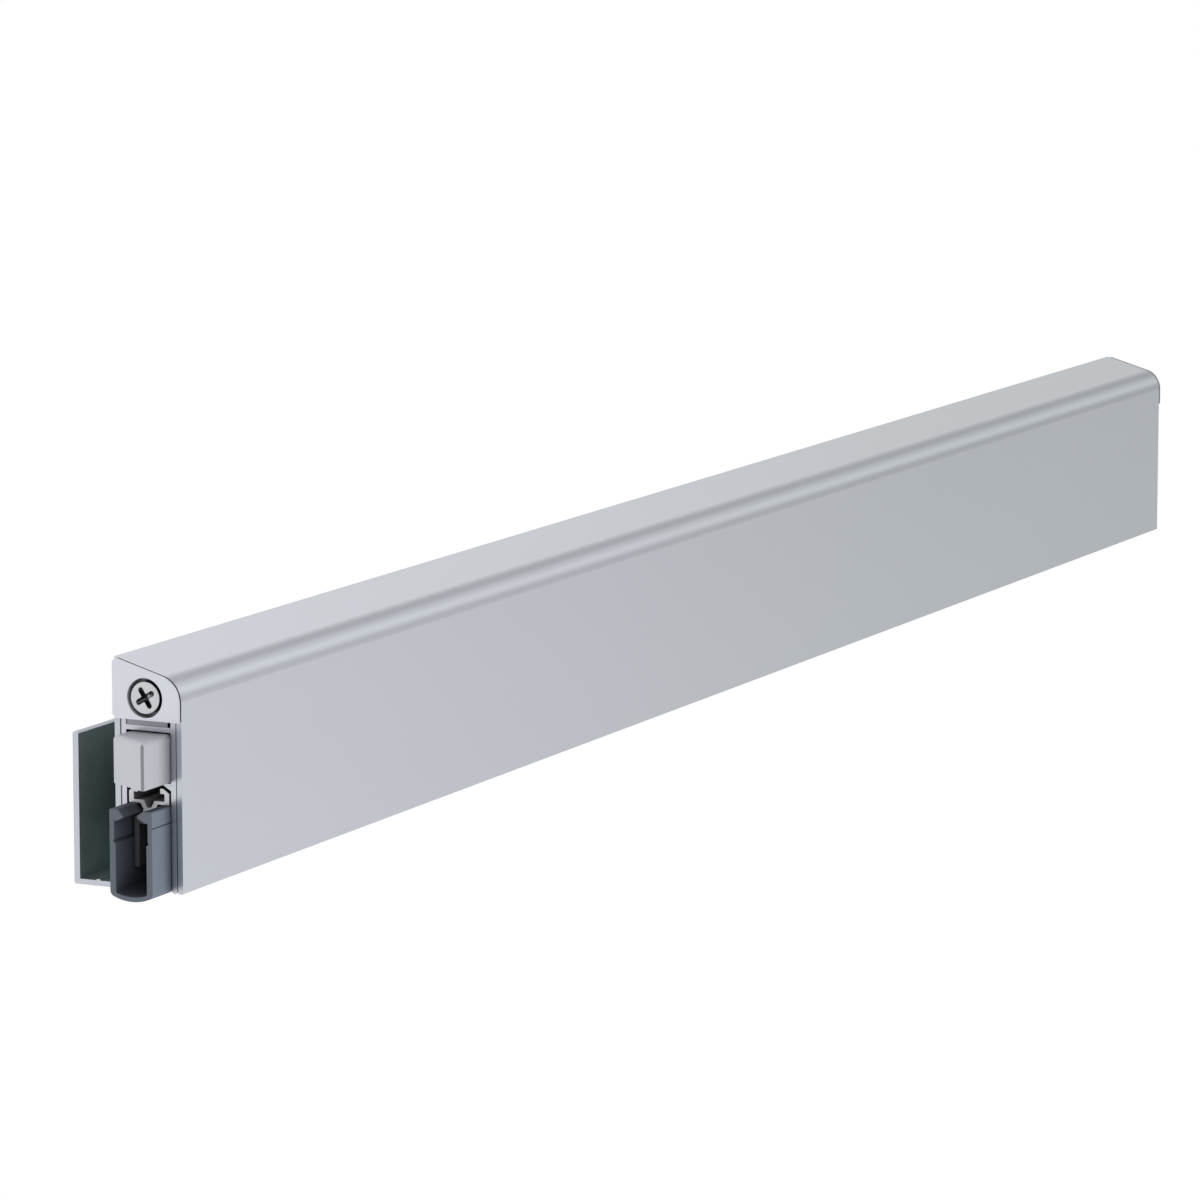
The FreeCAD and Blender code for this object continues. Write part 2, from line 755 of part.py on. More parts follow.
def seal_profile():
    """Hollow rubber profile: arched foot, two walls with hinge lines, and barbs round the bar's keel."""
    x0 = -seal_near_overhang
    span = length + seal_near_overhang + seal_far_overhang
    outer = arc_slab(seal_half, seal_edge_z, seal_low_z, seal_top)
    low_half = seal_half - seal_lower_wall
    high_half = seal_half - seal_upper_wall
    hollow = arc_slab(low_half, seal_hollow_edge, seal_low_z + seal_bottom_wall, hinge_line_z)
    upper = outline(both_sides([
        (0, hinge_line_z - hinge_line_half), (low_half, hinge_line_z - hinge_line_half),
        (low_half + hinge_line_depth, hinge_line_z), (high_half, hinge_line_z + hinge_line_half),
        (high_half, barb_root_z), (barb_root_half, barb_root_z), (barb_tip_half, barb_tip_z - barb_tip_edge),
        (barb_tip_half, barb_tip_z), (barb_top_half, seal_top), (barb_top_half, seal_top + past),
        (0, seal_top + past)]))
    section = outer.cut(hollow).cut(upper)
    for side in (-1, 1):
        face_y = mid_y + side * seal_half
        score = outline([(face_y, score_z - score_half), (face_y - side * score_depth, score_z),
                         (face_y, score_z + score_half)])
        section = section.cut(score)
    solid = section.Faces[0].extrude(Vector(span, 0, 0))
    solid.translate(Vector(x0, 0, 0))
    return solid


def hanger(centre):
    """T-shaped foot slid into the bar's channel; the middle of a spring is riveted to its top."""
    foot_half = bar_half - bar_wall - hanger_foot_play
    foot_top = bar_top - bar_lip_wall - hanger_foot_play
    foot = block(centre - hanger_half_length, centre + hanger_half_length, mid_y - foot_half,
                 mid_y + foot_half, bar_floor_top, foot_top)
    neck = block(centre - hanger_neck_half_length, centre + hanger_neck_half_length,
                 mid_y - hanger_neck_half, mid_y + hanger_neck_half, foot_top - root, hanger_top)
    hole = pin_z(rivet_radius + rivet_play, hanger_top - hanger_rivet_depth, hanger_top + past, centre,
                 mid_y)
    return fused(foot, neck).cut(hole)


def hanger_rivets():
    high = spring_mid_z + spring_sheet + hanger_seat_gap
    low = hanger_top - hanger_rivet_depth
    return Part.makeCompound([rivet_between(low, high, x) for x in spring_xs()])


def save(node, shape):
    """Move a piece into the part's frame and write it."""
    shape = shape.copy()
    shape.translate(-origin)
    shape.exportStep("parts/" + node + ".step")
    print(node, len(shape.Solids), round(shape.Volume, 1), "mm3", shape.isValid())


def main():
    os.makedirs("parts", exist_ok=True)
    save("glass_channel", glass_channel())
    save("seal_housing", seal_housing())
    save("cover_profile", cover_profile())
    cap = end_cap()
    screw = cap_screw()
    save("end_cap_near", cap)
    save("end_cap_far", at_far_end(cap))
    save("cap_screw_near", screw)
    save("cap_screw_far", at_far_end(screw))
    save("channel_rivets", channel_rivets())
    save("release_plunger", release_plunger())
    save("adjusting_spindle", adjusting_spindle())
    save("lock_nut", lock_nut())
    save("rod_end", rod_end())
    save("push_rod", push_rod())
    save("rod_rivets", rod_rivets())
    for name, centre in zip(("near", "far"), spring_xs()):
        save("slider_" + name, slider(centre))
        save("leaf_spring_" + name, leaf_spring(centre))
        save("anchor_" + name, anchor(centre))
        save("hanger_" + name, hanger(centre))
    save("anchor_rivets", anchor_rivets())
    save("anchor_pins", anchor_pins())
    save("hanger_rivets", hanger_rivets())
    save("drop_bar", drop_bar())
    save("seal_profile", seal_profile())
    clip = seal_clip()
    save("seal_clip_near", clip)
    save("seal_clip_far", at_far_end(clip))
    print("overall, mm:", round(length + 2 * cap_plate, 2), round(depth, 2),
          round(cover_top(glass_front - cover_glass_gap), 2))


main()
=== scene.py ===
# %% [markdown]
# # An automatic door bottom seal, dressed for its portrait
#
# The part is a drop-down seal for the bottom edge of a door. Aluminium extrusions hold a plunger, a push rod, two
# bowed springs and a bar with a rubber profile. The solids already have their true size and place, so this
# script gives them their finish: what each surface is made of, how its edges catch light, and the small forms
# that are finer than the solids carry. Everything is in metres, in the part's own frame: +X runs along the seal
# from the hinge end, +Y from the cover to the open slot, +Z up.

# %% Load the frame
import math
import bpy
import bmesh
from mathutils import Matrix, Vector


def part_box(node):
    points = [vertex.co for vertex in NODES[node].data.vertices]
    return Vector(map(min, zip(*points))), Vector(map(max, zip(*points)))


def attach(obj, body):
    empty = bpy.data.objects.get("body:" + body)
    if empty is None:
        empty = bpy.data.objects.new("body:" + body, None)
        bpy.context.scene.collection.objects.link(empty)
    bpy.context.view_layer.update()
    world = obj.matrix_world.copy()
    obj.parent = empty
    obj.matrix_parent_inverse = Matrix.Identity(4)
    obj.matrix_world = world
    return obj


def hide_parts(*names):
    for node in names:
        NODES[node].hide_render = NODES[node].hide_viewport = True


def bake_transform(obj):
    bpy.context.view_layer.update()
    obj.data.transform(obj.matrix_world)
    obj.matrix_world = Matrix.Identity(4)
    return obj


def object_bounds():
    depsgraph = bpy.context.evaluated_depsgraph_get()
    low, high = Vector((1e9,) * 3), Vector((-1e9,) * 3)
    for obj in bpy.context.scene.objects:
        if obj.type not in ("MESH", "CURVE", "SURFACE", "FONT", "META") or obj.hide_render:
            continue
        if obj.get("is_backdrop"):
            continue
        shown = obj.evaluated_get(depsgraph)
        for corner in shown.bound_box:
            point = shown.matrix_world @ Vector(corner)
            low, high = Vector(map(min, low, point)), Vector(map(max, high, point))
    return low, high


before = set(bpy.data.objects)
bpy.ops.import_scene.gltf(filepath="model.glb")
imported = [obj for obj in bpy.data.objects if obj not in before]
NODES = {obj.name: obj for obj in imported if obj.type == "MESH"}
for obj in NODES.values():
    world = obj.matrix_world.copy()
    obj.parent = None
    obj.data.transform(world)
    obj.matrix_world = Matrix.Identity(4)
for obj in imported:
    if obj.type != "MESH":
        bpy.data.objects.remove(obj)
CAD_LOW, CAD_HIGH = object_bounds()
MM = 0.001
print("nodes:", len(NODES), "box:", [round(v, 4) for v in CAD_HIGH - CAD_LOW])

# %% [markdown]
# ## The camera
#
# The photograph looks at the hinge end from in front and slightly above, through a long lens, so that the far
# end shrinks only a little. A camera can be placed by eye, but here it is placed by measure: the direction of
# view, the focal length in pixels, and where the lower front corner of the hinge end falls in the picture.
# With those three, the whole outline falls into place without any trial.

# %% Measures of the view
PHOTO_PIXELS = 1200             # width and height of the picture
FOCAL_PIXELS = 6202.4           # focal length, in the same pixels
VIEW_AZIMUTH = math.radians(-63.80)
VIEW_ELEVATION = math.radians(9.366)
CORNER_PIXEL = (183.2, 894.9)   # where the cover's lower corner at the hinge end falls
CORNER_DEPTH = 1.17584          # how far in front of the camera it lies

cover_low, cover_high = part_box("cover_profile")
print("corner of the cover:", [round(v, 4) for v in cover_low], "at pixel", CORNER_PIXEL)


# %% Directions of a level camera
def view_axes(azimuth, elevation):
    """Right, up and forward."""
    forward = Vector((-math.sin(azimuth) * math.cos(elevation), math.cos(azimuth) * math.cos(elevation),
                      -math.sin(elevation)))
    right = Vector((math.cos(azimuth), math.sin(azimuth), 0))
    return right, right.cross(forward), forward


print("forward:", [round(v, 3) for v in view_axes(VIEW_AZIMUTH, VIEW_ELEVATION)[2]])

# %% Place the camera
SENSOR_WIDTH = 36.0
CLIP_START = 0.05
CLIP_END = 20


def make_camera():
    """A camera that shows the corner at its pixel."""
    right, up, forward = view_axes(VIEW_AZIMUTH, VIEW_ELEVATION)
    across, down = [(pixel - PHOTO_PIXELS / 2) / FOCAL_PIXELS for pixel in CORNER_PIXEL]
    data = bpy.data.cameras.new("studio_camera")
    data.sensor_width = SENSOR_WIDTH
    data.lens = SENSOR_WIDTH * FOCAL_PIXELS / PHOTO_PIXELS
    data.clip_start = CLIP_START
    data.clip_end = CLIP_END
    camera = bpy.data.objects.new("studio_camera", data)
    bpy.context.scene.collection.objects.link(camera)
    place = cover_low - (forward + right * across - up * down) * CORNER_DEPTH
    turn = Matrix((right, up, -forward)).transposed().to_4x4()
    camera.matrix_world = Matrix.Translation(place) @ turn
    bpy.context.scene.camera = camera
    return camera


camera = make_camera()
print("camera at", [round(v, 3) for v in camera.matrix_world.translation], "lens", round(camera.data.lens, 1))

# %% [markdown]
# ## A kit for nodes
#
# A sky or a material is a circuit of nodes. It can be drawn by hand in the shader editor, but a script can be
# read, changed and run again. Each node would take several lines, so a few helpers make that one line each. The
# most useful is spread: it maps one range of values onto another, and nearly every mask and fade below is one.


# %% Nodes, sums and ranges
def add(tree, kind, **values):
    """A node with some of its inputs or settings filled in."""
    node = tree.nodes.new(kind)
    for name, value in values.items():
        if name in node.inputs:
            node.inputs[name].default_value = value
        else:
            setattr(node, name, value)
    return node


def maths(tree, operation, first, second=0.0):
    """One sum; each operand is a socket or a number."""
    node = add(tree, "ShaderNodeMath", operation=operation)
    for slot, value in enumerate((first, second)):
        if isinstance(value, (int, float)):
            node.inputs[slot].default_value = value
        else:
            tree.links.new(value, node.inputs[slot])
    return node.outputs[0]


def product(tree, first, *others):
    """Several values multiplied together."""
    for value in others:
        first = maths(tree, "MULTIPLY", first, value)
    return first


def opposite(tree, mask):
    """1 where a mask is 0, and 0 where it is 1."""
    return maths(tree, "SUBTRACT", 1.0, mask)


def spread(tree, value, low, high, start=0.3, stop=0.7, curve="LINEAR"):
    """Maps a value from the range start..stop to low..high, and holds it at the ends."""
    node = add(tree, "ShaderNodeMapRange", interpolation_type=curve)
    for name, number in (("From Min", start), ("From Max", stop), ("To Min", low), ("To Max", high)):
        node.inputs[name].default_value = number
    tree.links.new(value, node.inputs["Value"])
    return node.outputs["Result"]


# %% [markdown]
# ## A studio painted on the sky
#
# Satin metal shows its surroundings more than its own colour. Real softboxes could be modelled as lamps, but
# here they are painted on the world, which is exact and costs nothing: soft white panels with darker gaps
# between them. The gaps draw the two darker bands that run along the rounded corner of the cover. Brightness
# depends on how far round the long axis a direction lies, and on how near it is to the +X pole. The camera
# itself sees plain white.

# %% Panels round the long axis
PANELS = [(-180, 1.10), (-150, 1.10), (-100, 0.95), (-45, 1.05), (-16, 1.04), (-8, 0.81), (8, 0.81), (18, 1.04),
          (34, 1.14), (60, 0.91), (80, 0.68), (104, 0.65), (120, 1.03), (150, 1.11), (180, 1.07)]
RAMP_WHITE = 1.25   # the brightness that full white in the ramp stands for


def panel_ramp(tree, turn):
    """Brightness by the angle round the long axis; PANELS counts it in degrees up from the front."""
    ramp = add(tree, "ShaderNodeValToRGB")
    ramp.color_ramp.interpolation = "EASE"
    stops = ramp.color_ramp.elements
    while len(stops) < len(PANELS):
        stops.new(0.5)
    for stop, (angle, level) in zip(stops, PANELS):
        stop.position = (angle + 180) / 360
        stop.color = (level / RAMP_WHITE,) * 3 + (1,)
    tree.links.new(turn, ramp.inputs["Fac"])
    return maths(tree, "MULTIPLY", ramp.outputs["Color"], RAMP_WHITE)


print("panels:", len(PANELS), "from", min(level for _, level in PANELS), "to", max(level for _, level in PANELS))

# %% Brightness in every direction
OPEN_SKY = 0.98            # beyond the hinge end, low down
ZENITH = 0.60              # beyond the hinge end, high up
ZENITH_SPAN = (0.25, 0.85)
PANEL_SPAN = (-0.35, 0.35)  # where the panels take over, along X
POLE_SPAN = (0.80, 0.96)   # where the sky fades towards the +X pole
POLE_LOW = 0.55            # what is left of it there, at the horizon
POLE_HIGH = 0.72           # what is left of it there, higher up
POLE_RISE = (0.0, 0.35)


def sky_level(tree):
    """Panels beyond the far end, an even sky beyond the hinge end, and a fade towards the +X pole."""
    parts = add(tree, "ShaderNodeSeparateXYZ")
    tree.links.new(add(tree, "ShaderNodeTexCoord").outputs["Generated"], parts.inputs[0])
    along, up = parts.outputs["X"], parts.outputs["Z"]
    angle = maths(tree, "ARCTAN2", up, maths(tree, "MULTIPLY", parts.outputs["Y"], -1.0))
    turn = maths(tree, "ADD", maths(tree, "DIVIDE", angle, 2 * math.pi), 0.5)
    share = spread(tree, along, 0.0, 1.0, *PANEL_SPAN, "SMOOTHSTEP")
    even = spread(tree, up, OPEN_SKY, ZENITH, *ZENITH_SPAN, "SMOOTHSTEP")
    mixed = maths(tree, "ADD", product(tree, panel_ramp(tree, turn), share),
                  product(tree, opposite(tree, share), even))
    nearness = spread(tree, along, 0.0, 1.0, *POLE_SPAN, "SMOOTHSTEP")
    loss = spread(tree, up, 1 - POLE_LOW, 1 - POLE_HIGH, *POLE_RISE)
    return product(tree, mixed, opposite(tree, product(tree, nearness, loss)))


# %% Hang the sky
def make_world():
    """The painted studio for every ray but the camera's own, which sees white."""
    world = bpy.data.worlds.new("studio_world")
    bpy.context.scene.world = world
    world.use_nodes = True
    tree = world.node_tree
    tree.nodes.clear()
    studio = add(tree, "ShaderNodeBackground", Color=(1, 1, 1, 1))
    tree.links.new(sky_level(tree), studio.inputs["Strength"])
    white = add(tree, "ShaderNodeBackground", Color=(1, 1, 1, 1), Strength=1.0)
    mix = add(tree, "ShaderNodeMixShader")
    tree.links.new(add(tree, "ShaderNodeLightPath").outputs["Is Camera Ray"], mix.inputs[0])
    tree.links.new(studio.outputs[0], mix.inputs[1])
    tree.links.new(white.outputs[0], mix.inputs[2])
    tree.links.new(mix.outputs[0], add(tree, "ShaderNodeOutputWorld").inputs["Surface"])
    return world


bpy.context.scene.view_settings.view_transform = "Standard"
print("sky:", len(make_world().node_tree.nodes), "nodes")

# %% [markdown]
# ## One soft lamp
#
# An even sky alone leaves the sawn ends as bright as the sides. A single broad lamp from beyond the hinge end
# adds a little direction, so that the ends of the profiles stand out. It is large and weak, which keeps its
# shadows soft.

# %% Hang the lamp
LAMP_PLACE = (-1.1, 0.5, 0.7)
LAMP_AIM = (-0.2, 0, 0.02)
LAMP_SIZE = (0.8, 0.6)
LAMP_POWER = 0.8


def make_lamp():
    """A rectangular area lamp that looks at its aim."""
    data = bpy.data.lights.new("end_softbox", "AREA")
    data.shape = "RECTANGLE"
    data.size, data.size_y = LAMP_SIZE
    data.energy = LAMP_POWER
    lamp = bpy.data.objects.new("end_softbox", data)
    bpy.context.scene.collection.objects.link(lamp)
    lamp.location = LAMP_PLACE
    lamp.rotation_euler = (Vector(LAMP_AIM) - Vector(LAMP_PLACE)).to_track_quat("-Z", "Y").to_euler()
    return lamp


print("lamp at", [round(v, 2) for v in make_lamp().location])

# %% [markdown]
# ## The floor
#
# The part hangs free over a white floor that melts into a white backdrop. A wide sheet well below it does the
# same: to the camera it is a matt white surface with a little glow of its own, so that the part's shadow stays
# on it as a faint soft patch. Every other ray passes through it to the painted sky, so it changes nothing in the
# reflections.

# %% Lay the floor
FLOOR_DROP = 0.30    # how far it lies below the part
FLOOR_HALF = 6.0
FLOOR_CELLS = 4
FLOOR_TONE = 0.60
FLOOR_GLOW = 0.518   # with the tone, it makes just white


def floor_white():
    """Matt white with a glow, for the camera's rays on the upper side; clear for all others."""
    material = bpy.data.materials.new("floor_white")
    material.use_nodes = True
    tree = material.node_tree
    tree.nodes.clear()
    above = opposite(tree, add(tree, "ShaderNodeNewGeometry").outputs["Backfacing"])
    seen = product(tree, above, add(tree, "ShaderNodeLightPath").outputs["Is Camera Ray"])
    matt = add(tree, "ShaderNodeBsdfDiffuse", Color=(FLOOR_TONE, FLOOR_TONE, FLOOR_TONE, 1))
    glow = add(tree, "ShaderNodeEmission", Color=(1, 1, 1, 1), Strength=FLOOR_GLOW)
    both = add(tree, "ShaderNodeAddShader")
    tree.links.new(matt.outputs[0], both.inputs[0])
    tree.links.new(glow.outputs[0], both.inputs[1])
    mix = add(tree, "ShaderNodeMixShader")
    tree.links.new(seen, mix.inputs[0])
    tree.links.new(add(tree, "ShaderNodeBsdfTransparent").outputs[0], mix.inputs[1])
    tree.links.new(both.outputs[0], mix.inputs[2])
    tree.links.new(mix.outputs[0], add(tree, "ShaderNodeOutputMaterial").inputs["Surface"])
    return material


def make_floor():
    """A wide level sheet below the part."""
    mesh = bpy.data.meshes.new("studio_floor")
    grid = bmesh.new()
    bmesh.ops.create_grid(grid, x_segments=FLOOR_CELLS, y_segments=FLOOR_CELLS, size=FLOOR_HALF)
    grid.to_mesh(mesh)
    grid.free()
    mesh.materials.append(floor_white())
    sheet = bpy.data.objects.new("studio_floor", mesh)
    bpy.context.scene.collection.objects.link(sheet)
    sheet.location = (0, 0, CAD_LOW.z - FLOOR_DROP)
    return sheet


floor = make_floor()
floor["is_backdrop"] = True
print("floor at", round(floor.location.z, 3))

# %% [markdown]
# ## A kit for finishes
#
# Images could be wrapped round the pieces, but long extrusions would stretch them, so every finish here is
# procedural. It is mixed from three things: fine noise, painted shade from how open or hidden a point is, and
# where on the object the point lies and which way it looks, which places more painted shade and light. Each
# has its helper below.


# %% Start a material
def new_material(name):
    """A material with only its shader and its output."""
    material = bpy.data.materials.new(name)
    material.use_nodes = True
    tree = material.node_tree
    tree.nodes.clear()
    shader = add(tree, "ShaderNodeBsdfPrincipled")
    tree.links.new(shader.outputs["BSDF"], add(tree, "ShaderNodeOutputMaterial").inputs["Surface"])
    return material, tree, shader


# %% Grain and tones
def grain_of(tree, frequency, detail=3.0):
    """Noise from 0 to 1, with a frequency per metre along x, y and z."""
    scale = add(tree, "ShaderNodeMapping")
    scale.inputs["Scale"].default_value = frequency
    tree.links.new(add(tree, "ShaderNodeTexCoord").outputs["Object"], scale.inputs["Vector"])
    node = add(tree, "ShaderNodeTexNoise", Scale=1.0, Detail=detail, Roughness=0.5)
    tree.links.new(scale.outputs["Vector"], node.inputs["Vector"])
    return node.outputs["Fac"]


def blended(tree, factor, first, second):
    """From one colour to another by a factor from 0 to 1; each is a socket or a plain tone."""
    node = add(tree, "ShaderNodeMix", data_type="RGBA")
    tree.links.new(factor, node.inputs[0])
    for slot, colour in ((6, first), (7, second)):
        if isinstance(colour, bpy.types.NodeSocket):
            tree.links.new(colour, node.inputs[slot])
        else:
            node.inputs[slot].default_value = (*colour, 1)
    return node.outputs[2]


def mottled(tree, grain, tone, share):
    """A tone that grows a little darker and lighter with the grain."""
    return blended(tree, grain, [part * (1 - share) for part in tone], [part * (1 + share) for part in tone])


def bump(tree, shader, height, strength, distance):
    """Fine relief on the shader's normal."""
    node = add(tree, "ShaderNodeBump", Strength=strength, Distance=distance)
    tree.links.new(height, node.inputs["Height"])
    tree.links.new(node.outputs["Normal"], shader.inputs["Normal"])


# %% Painted light and shade
def openness(tree, reach, power):
    """Painted shade: 1 in the open, less in corners and gaps within reach, almost 0 deep inside a gap."""
    node = add(tree, "ShaderNodeAmbientOcclusion", samples=8, Distance=reach)
    return maths(tree, "POWER", node.outputs["AO"], power)


def dimmed(tree, mask, level):
    """A factor that is 1 where the mask is 0, and level where it is 1."""
    return spread(tree, mask, 1.0, level, 0.0, 1.0)


def dress(tree, shader, colour, shade, roughness):
    """Gives the shader its colour times its painted shade, and its roughness."""
    node = add(tree, "ShaderNodeVectorMath", operation="SCALE")
    tree.links.new(colour, node.inputs[0])
    tree.links.new(shade, node.inputs["Scale"])
    tree.links.new(node.outputs[0], shader.inputs["Base Color"])
    tree.links.new(roughness, shader.inputs["Roughness"])


# %% Where a point lies and which way it looks
HALF_LENGTH = cover_high.x
TURN_SPAN = (0.6, 0.9)


def object_axes(tree):
    """The point's place along, across and up."""
    parts = add(tree, "ShaderNodeSeparateXYZ")
    tree.links.new(add(tree, "ShaderNodeTexCoord").outputs["Object"], parts.inputs[0])
    return parts.outputs["X"], parts.outputs["Y"], parts.outputs["Z"]


def beyond_end(tree):
    """How far a point stands out past the sawn ends of the profiles; negative between them."""
    return maths(tree, "SUBTRACT", maths(tree, "ABSOLUTE", object_axes(tree)[0]), HALF_LENGTH)


def off_middle(tree, value, middle):
    """Distance to either side of a middle."""
    return maths(tree, "ABSOLUTE", maths(tree, "SUBTRACT", value, middle))


def looks_along(tree, axis):
    """1 on surfaces that look along an axis, 0 on those that run along it."""
    parts = add(tree, "ShaderNodeSeparateXYZ")
    tree.links.new(add(tree, "ShaderNodeNewGeometry").outputs["Normal"], parts.inputs[0])
    return spread(tree, maths(tree, "ABSOLUTE", parts.outputs[axis]), 0.0, 1.0, *TURN_SPAN)


print("the profiles end", round(HALF_LENGTH, 4), "from the middle")

# %% [markdown]
# ## Natural anodised aluminium
#
# The profiles are pressed through a die and then anodised. That leaves a satin, slightly milky metal with very
# fine lines along the profile. A brushed image would show a repeat over half a metre, so the lines are noise
# stretched along X, put into the roughness and a faint bump. A faint cloud of tone is laid over it, and painted
# shade in a slow drift along X makes the far end a little darker and greener.

# %% A tone with painted shade along the stock
LINE_FREQUENCY = (6, 4200, 4200)
CLOUD_FREQUENCY = (9, 40, 40)
CLOUD_SHARE = 0.015
# painted shade: towards the far end the tone grows a little darker and greener
FAR_SHADE = (0.963, 0.988, 0.953)
FAR_SHADE_SPAN = (-0.22, 0.16)


def tone_with_far_shade(tree, tone):
    """A faintly clouded tone with painted shade that grows slowly from the hinge end to the far end."""
    cloud = grain_of(tree, CLOUD_FREQUENCY, detail=2)
    far_shaded_tone = [part * drift for part, drift in zip(tone, FAR_SHADE)]
    near, far = [mottled(tree, cloud, end, CLOUD_SHARE) for end in (tone, far_shaded_tone)]
    share = spread(tree, object_axes(tree)[0], 0.0, 1.0, *FAR_SHADE_SPAN, "SMOOTHSTEP")
    return blended(tree, share, near, far)


print("drift from x", FAR_SHADE_SPAN[0], "to", FAR_SHADE_SPAN[1])

# %% Painted shade inside the open slot
SLOT_HALF = 4.07 * MM
SLOT_EDGE = 0.04 * MM
SLOT_FLOOR = (-0.8 * MM, -0.6 * MM)
SLOT_REACH = 12 * MM
# painted shade inside the open slot, dark green grey
SLOT_SHADE_TONE = (0.110, 0.150, 0.145)
SLOT_DEEP = (0.55, 0.85)      # openness at which the painted shade begins
SLOT_DEEPEST = (0.22, 0.55)   # and over which it grows lighter again
SLOT_LIFT = 3.2
SLOT_METAL = 0.35
SLOT_ROUGH = 0.5


def slot_shade_mask(tree, light):
    """Where the slot's painted shade goes: 1 deep in the slot between the web and the leg, 0 on its sawn ends and
    elsewhere.
    """
    _, across, up = object_axes(tree)
    between = spread(tree, maths(tree, "ABSOLUTE", across), 1.0, 0.0, SLOT_HALF, SLOT_HALF + SLOT_EDGE)
    above = spread(tree, up, 0.0, 1.0, *SLOT_FLOOR)
    deep = spread(tree, light, 1.0, 0.0, *SLOT_DEEP)
    return product(tree, between, above, opposite(tree, looks_along(tree, "X")), deep)


def slot_shade_tone(tree, light):
    """Painted shade: dark green grey, lighter in the deepest part."""
    deepest = spread(tree, light, 1.0, 0.0, *SLOT_DEEPEST)
    return blended(tree, deepest, SLOT_SHADE_TONE, [SLOT_LIFT * part for part in SLOT_SHADE_TONE])


print("slot:", round(2 * SLOT_HALF / MM, 2), "mm wide")

# %% The joints between the profiles
COVER_WALL = 1.15 * MM
SEAM_HALF = 0.08 * MM
SEAM_EDGE = 0.06 * MM
SEAM_DARK = 0.35

housing_low, housing_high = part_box("seal_housing")
SEAMS = ((housing_low.y + cover_low.y + COVER_WALL) / 2, (housing_high.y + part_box("glass_channel")[0].y) / 2)


def seams(tree, ends):
    """A factor that draws the hair-thin joints on the sawn ends as dark lines."""
    across = object_axes(tree)[1]
    lines = [product(tree, ends, spread(tree, off_middle(tree, across, seam), 1.0, 0.0, SEAM_HALF,
                                        SEAM_HALF + SEAM_EDGE)) for seam in SEAMS]
    return product(tree, *[dimmed(tree, line, SEAM_DARK) for line in lines])


print("joints at y", [round(seam / MM, 2) for seam in SEAMS], "mm")

# %% The finish of a profile
SATIN = 0.25
SATIN_SHARE = 0.012
GAP_REACH = 3 * MM
LINE_BUMP = (0.008, 0.02 * MM)


def anodised(name, tone, slot=False, end_depth=0.30, side_depth=0.30, end_tone=1.0, metal=1.0):
    """Satin extrusion; the depths set its painted shade in gaps, on the sawn ends and along the sides."""
    material, tree, shader = new_material(name)
    shader.inputs["Metallic"].default_value = metal
    lines = grain_of(tree, LINE_FREQUENCY)
    roughness = spread(tree, lines, SATIN - SATIN_SHARE, SATIN + SATIN_SHARE)
    colour = tone_with_far_shade(tree, tone)
    # painted shade inside the slot, where it is hidden from the light
    if slot:
        light = openness(tree, SLOT_REACH, 1.0)
        inside = slot_shade_mask(tree, light)
        colour = blended(tree, inside, colour, slot_shade_tone(tree, light))
        roughness = spread(tree, inside, SATIN, SLOT_ROUGH, 0.0, 1.0)
        tree.links.new(dimmed(tree, inside, SLOT_METAL), shader.inputs["Metallic"])
    ends = looks_along(tree, "X")
    shade = openness(tree, GAP_REACH, spread(tree, ends, side_depth, end_depth, 0.0, 1.0))
    shade = product(tree, shade, seams(tree, ends), dimmed(tree, ends, end_tone))
    dress(tree, shader, colour, shade, roughness)
    bump(tree, shader, lines, *LINE_BUMP)
    return material


# %% Finish the profiles, the bar and the rod
ALUMINIUM = (0.60, 0.62, 0.675)

FINISH = {
    "glass_channel": anodised("satin_channel", ALUMINIUM, slot=True, end_tone=0.915),
    "seal_housing": anodised("satin_housing", ALUMINIUM),
    "cover_profile": anodised("satin_cover", ALUMINIUM, end_tone=0.96),
    "drop_bar": anodised("mill_bar", (0.66, 0.66, 0.69), end_depth=0.20, side_depth=1.0, metal=0.5),
    "push_rod": anodised("drawn_rod", (0.62, 0.62, 0.65)),
}
print("aluminium:", list(FINISH))

# %% [markdown]
# ## The end caps
#
# Each cap is sawn from bar and deburred, so it has a fine even grain and no die lines. Its screw lies in a deep
# round sink. A mirror-like wall would make that sink vanish in the reflections, so the wall is made matt, with
# painted shade: dark at the bottom, light at the mouth, as a drilled hole looks under soft light. Painted shade
# also darkens the plug below the cap's plate.

# %% Where the screw lies in its cap
screw_low, screw_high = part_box("cap_screw_near")
SCREW_Y = (screw_low.y + screw_high.y) / 2
SCREW_Z = (screw_low.z + screw_high.z) / 2


def screw_radial(tree):
    """Distance from the axis of the cap screws."""
    across, up = object_axes(tree)[1:]
    squares = [maths(tree, "POWER", maths(tree, "SUBTRACT", value, middle), 2.0)
               for value, middle in ((across, SCREW_Y), (up, SCREW_Z))]
    return maths(tree, "POWER", maths(tree, "ADD", *squares), 0.5)


print("screw axis at y, z:", round(SCREW_Y / MM, 2), round(SCREW_Z / MM, 2), "mm")

# %% The painted shade of a cap
CAP_FOOT = 31.83 * MM        # underside of the cap's plate; its plug reaches below it
CAP_FOOT_EDGE = 0.04 * MM
FOOT_SHADE = 0.48             # painted shade of the plug below the plate, at the hinge end
FOOT_SPAN = (0.3 * MM, 0.6 * MM)
FAR_CAP = 0.85               # the least factor of painted shade on the far cap
# painted shade down in the sink
SINK_SHADE = 0.35
SINK_SPAN = (-1.4 * MM, -0.3 * MM)
SINK_RADIUS = (4.0 * MM, 4.1 * MM)
WALL_SHADES = (0.10, 0.95)    # painted shade of the sink's wall, at the bottom and at the mouth
WALL_SPAN = (-0.8 * MM, 0.8 * MM)
CAP_GAPS = (2 * MM, 0.5)     # reach and power of the painted shade in its gaps
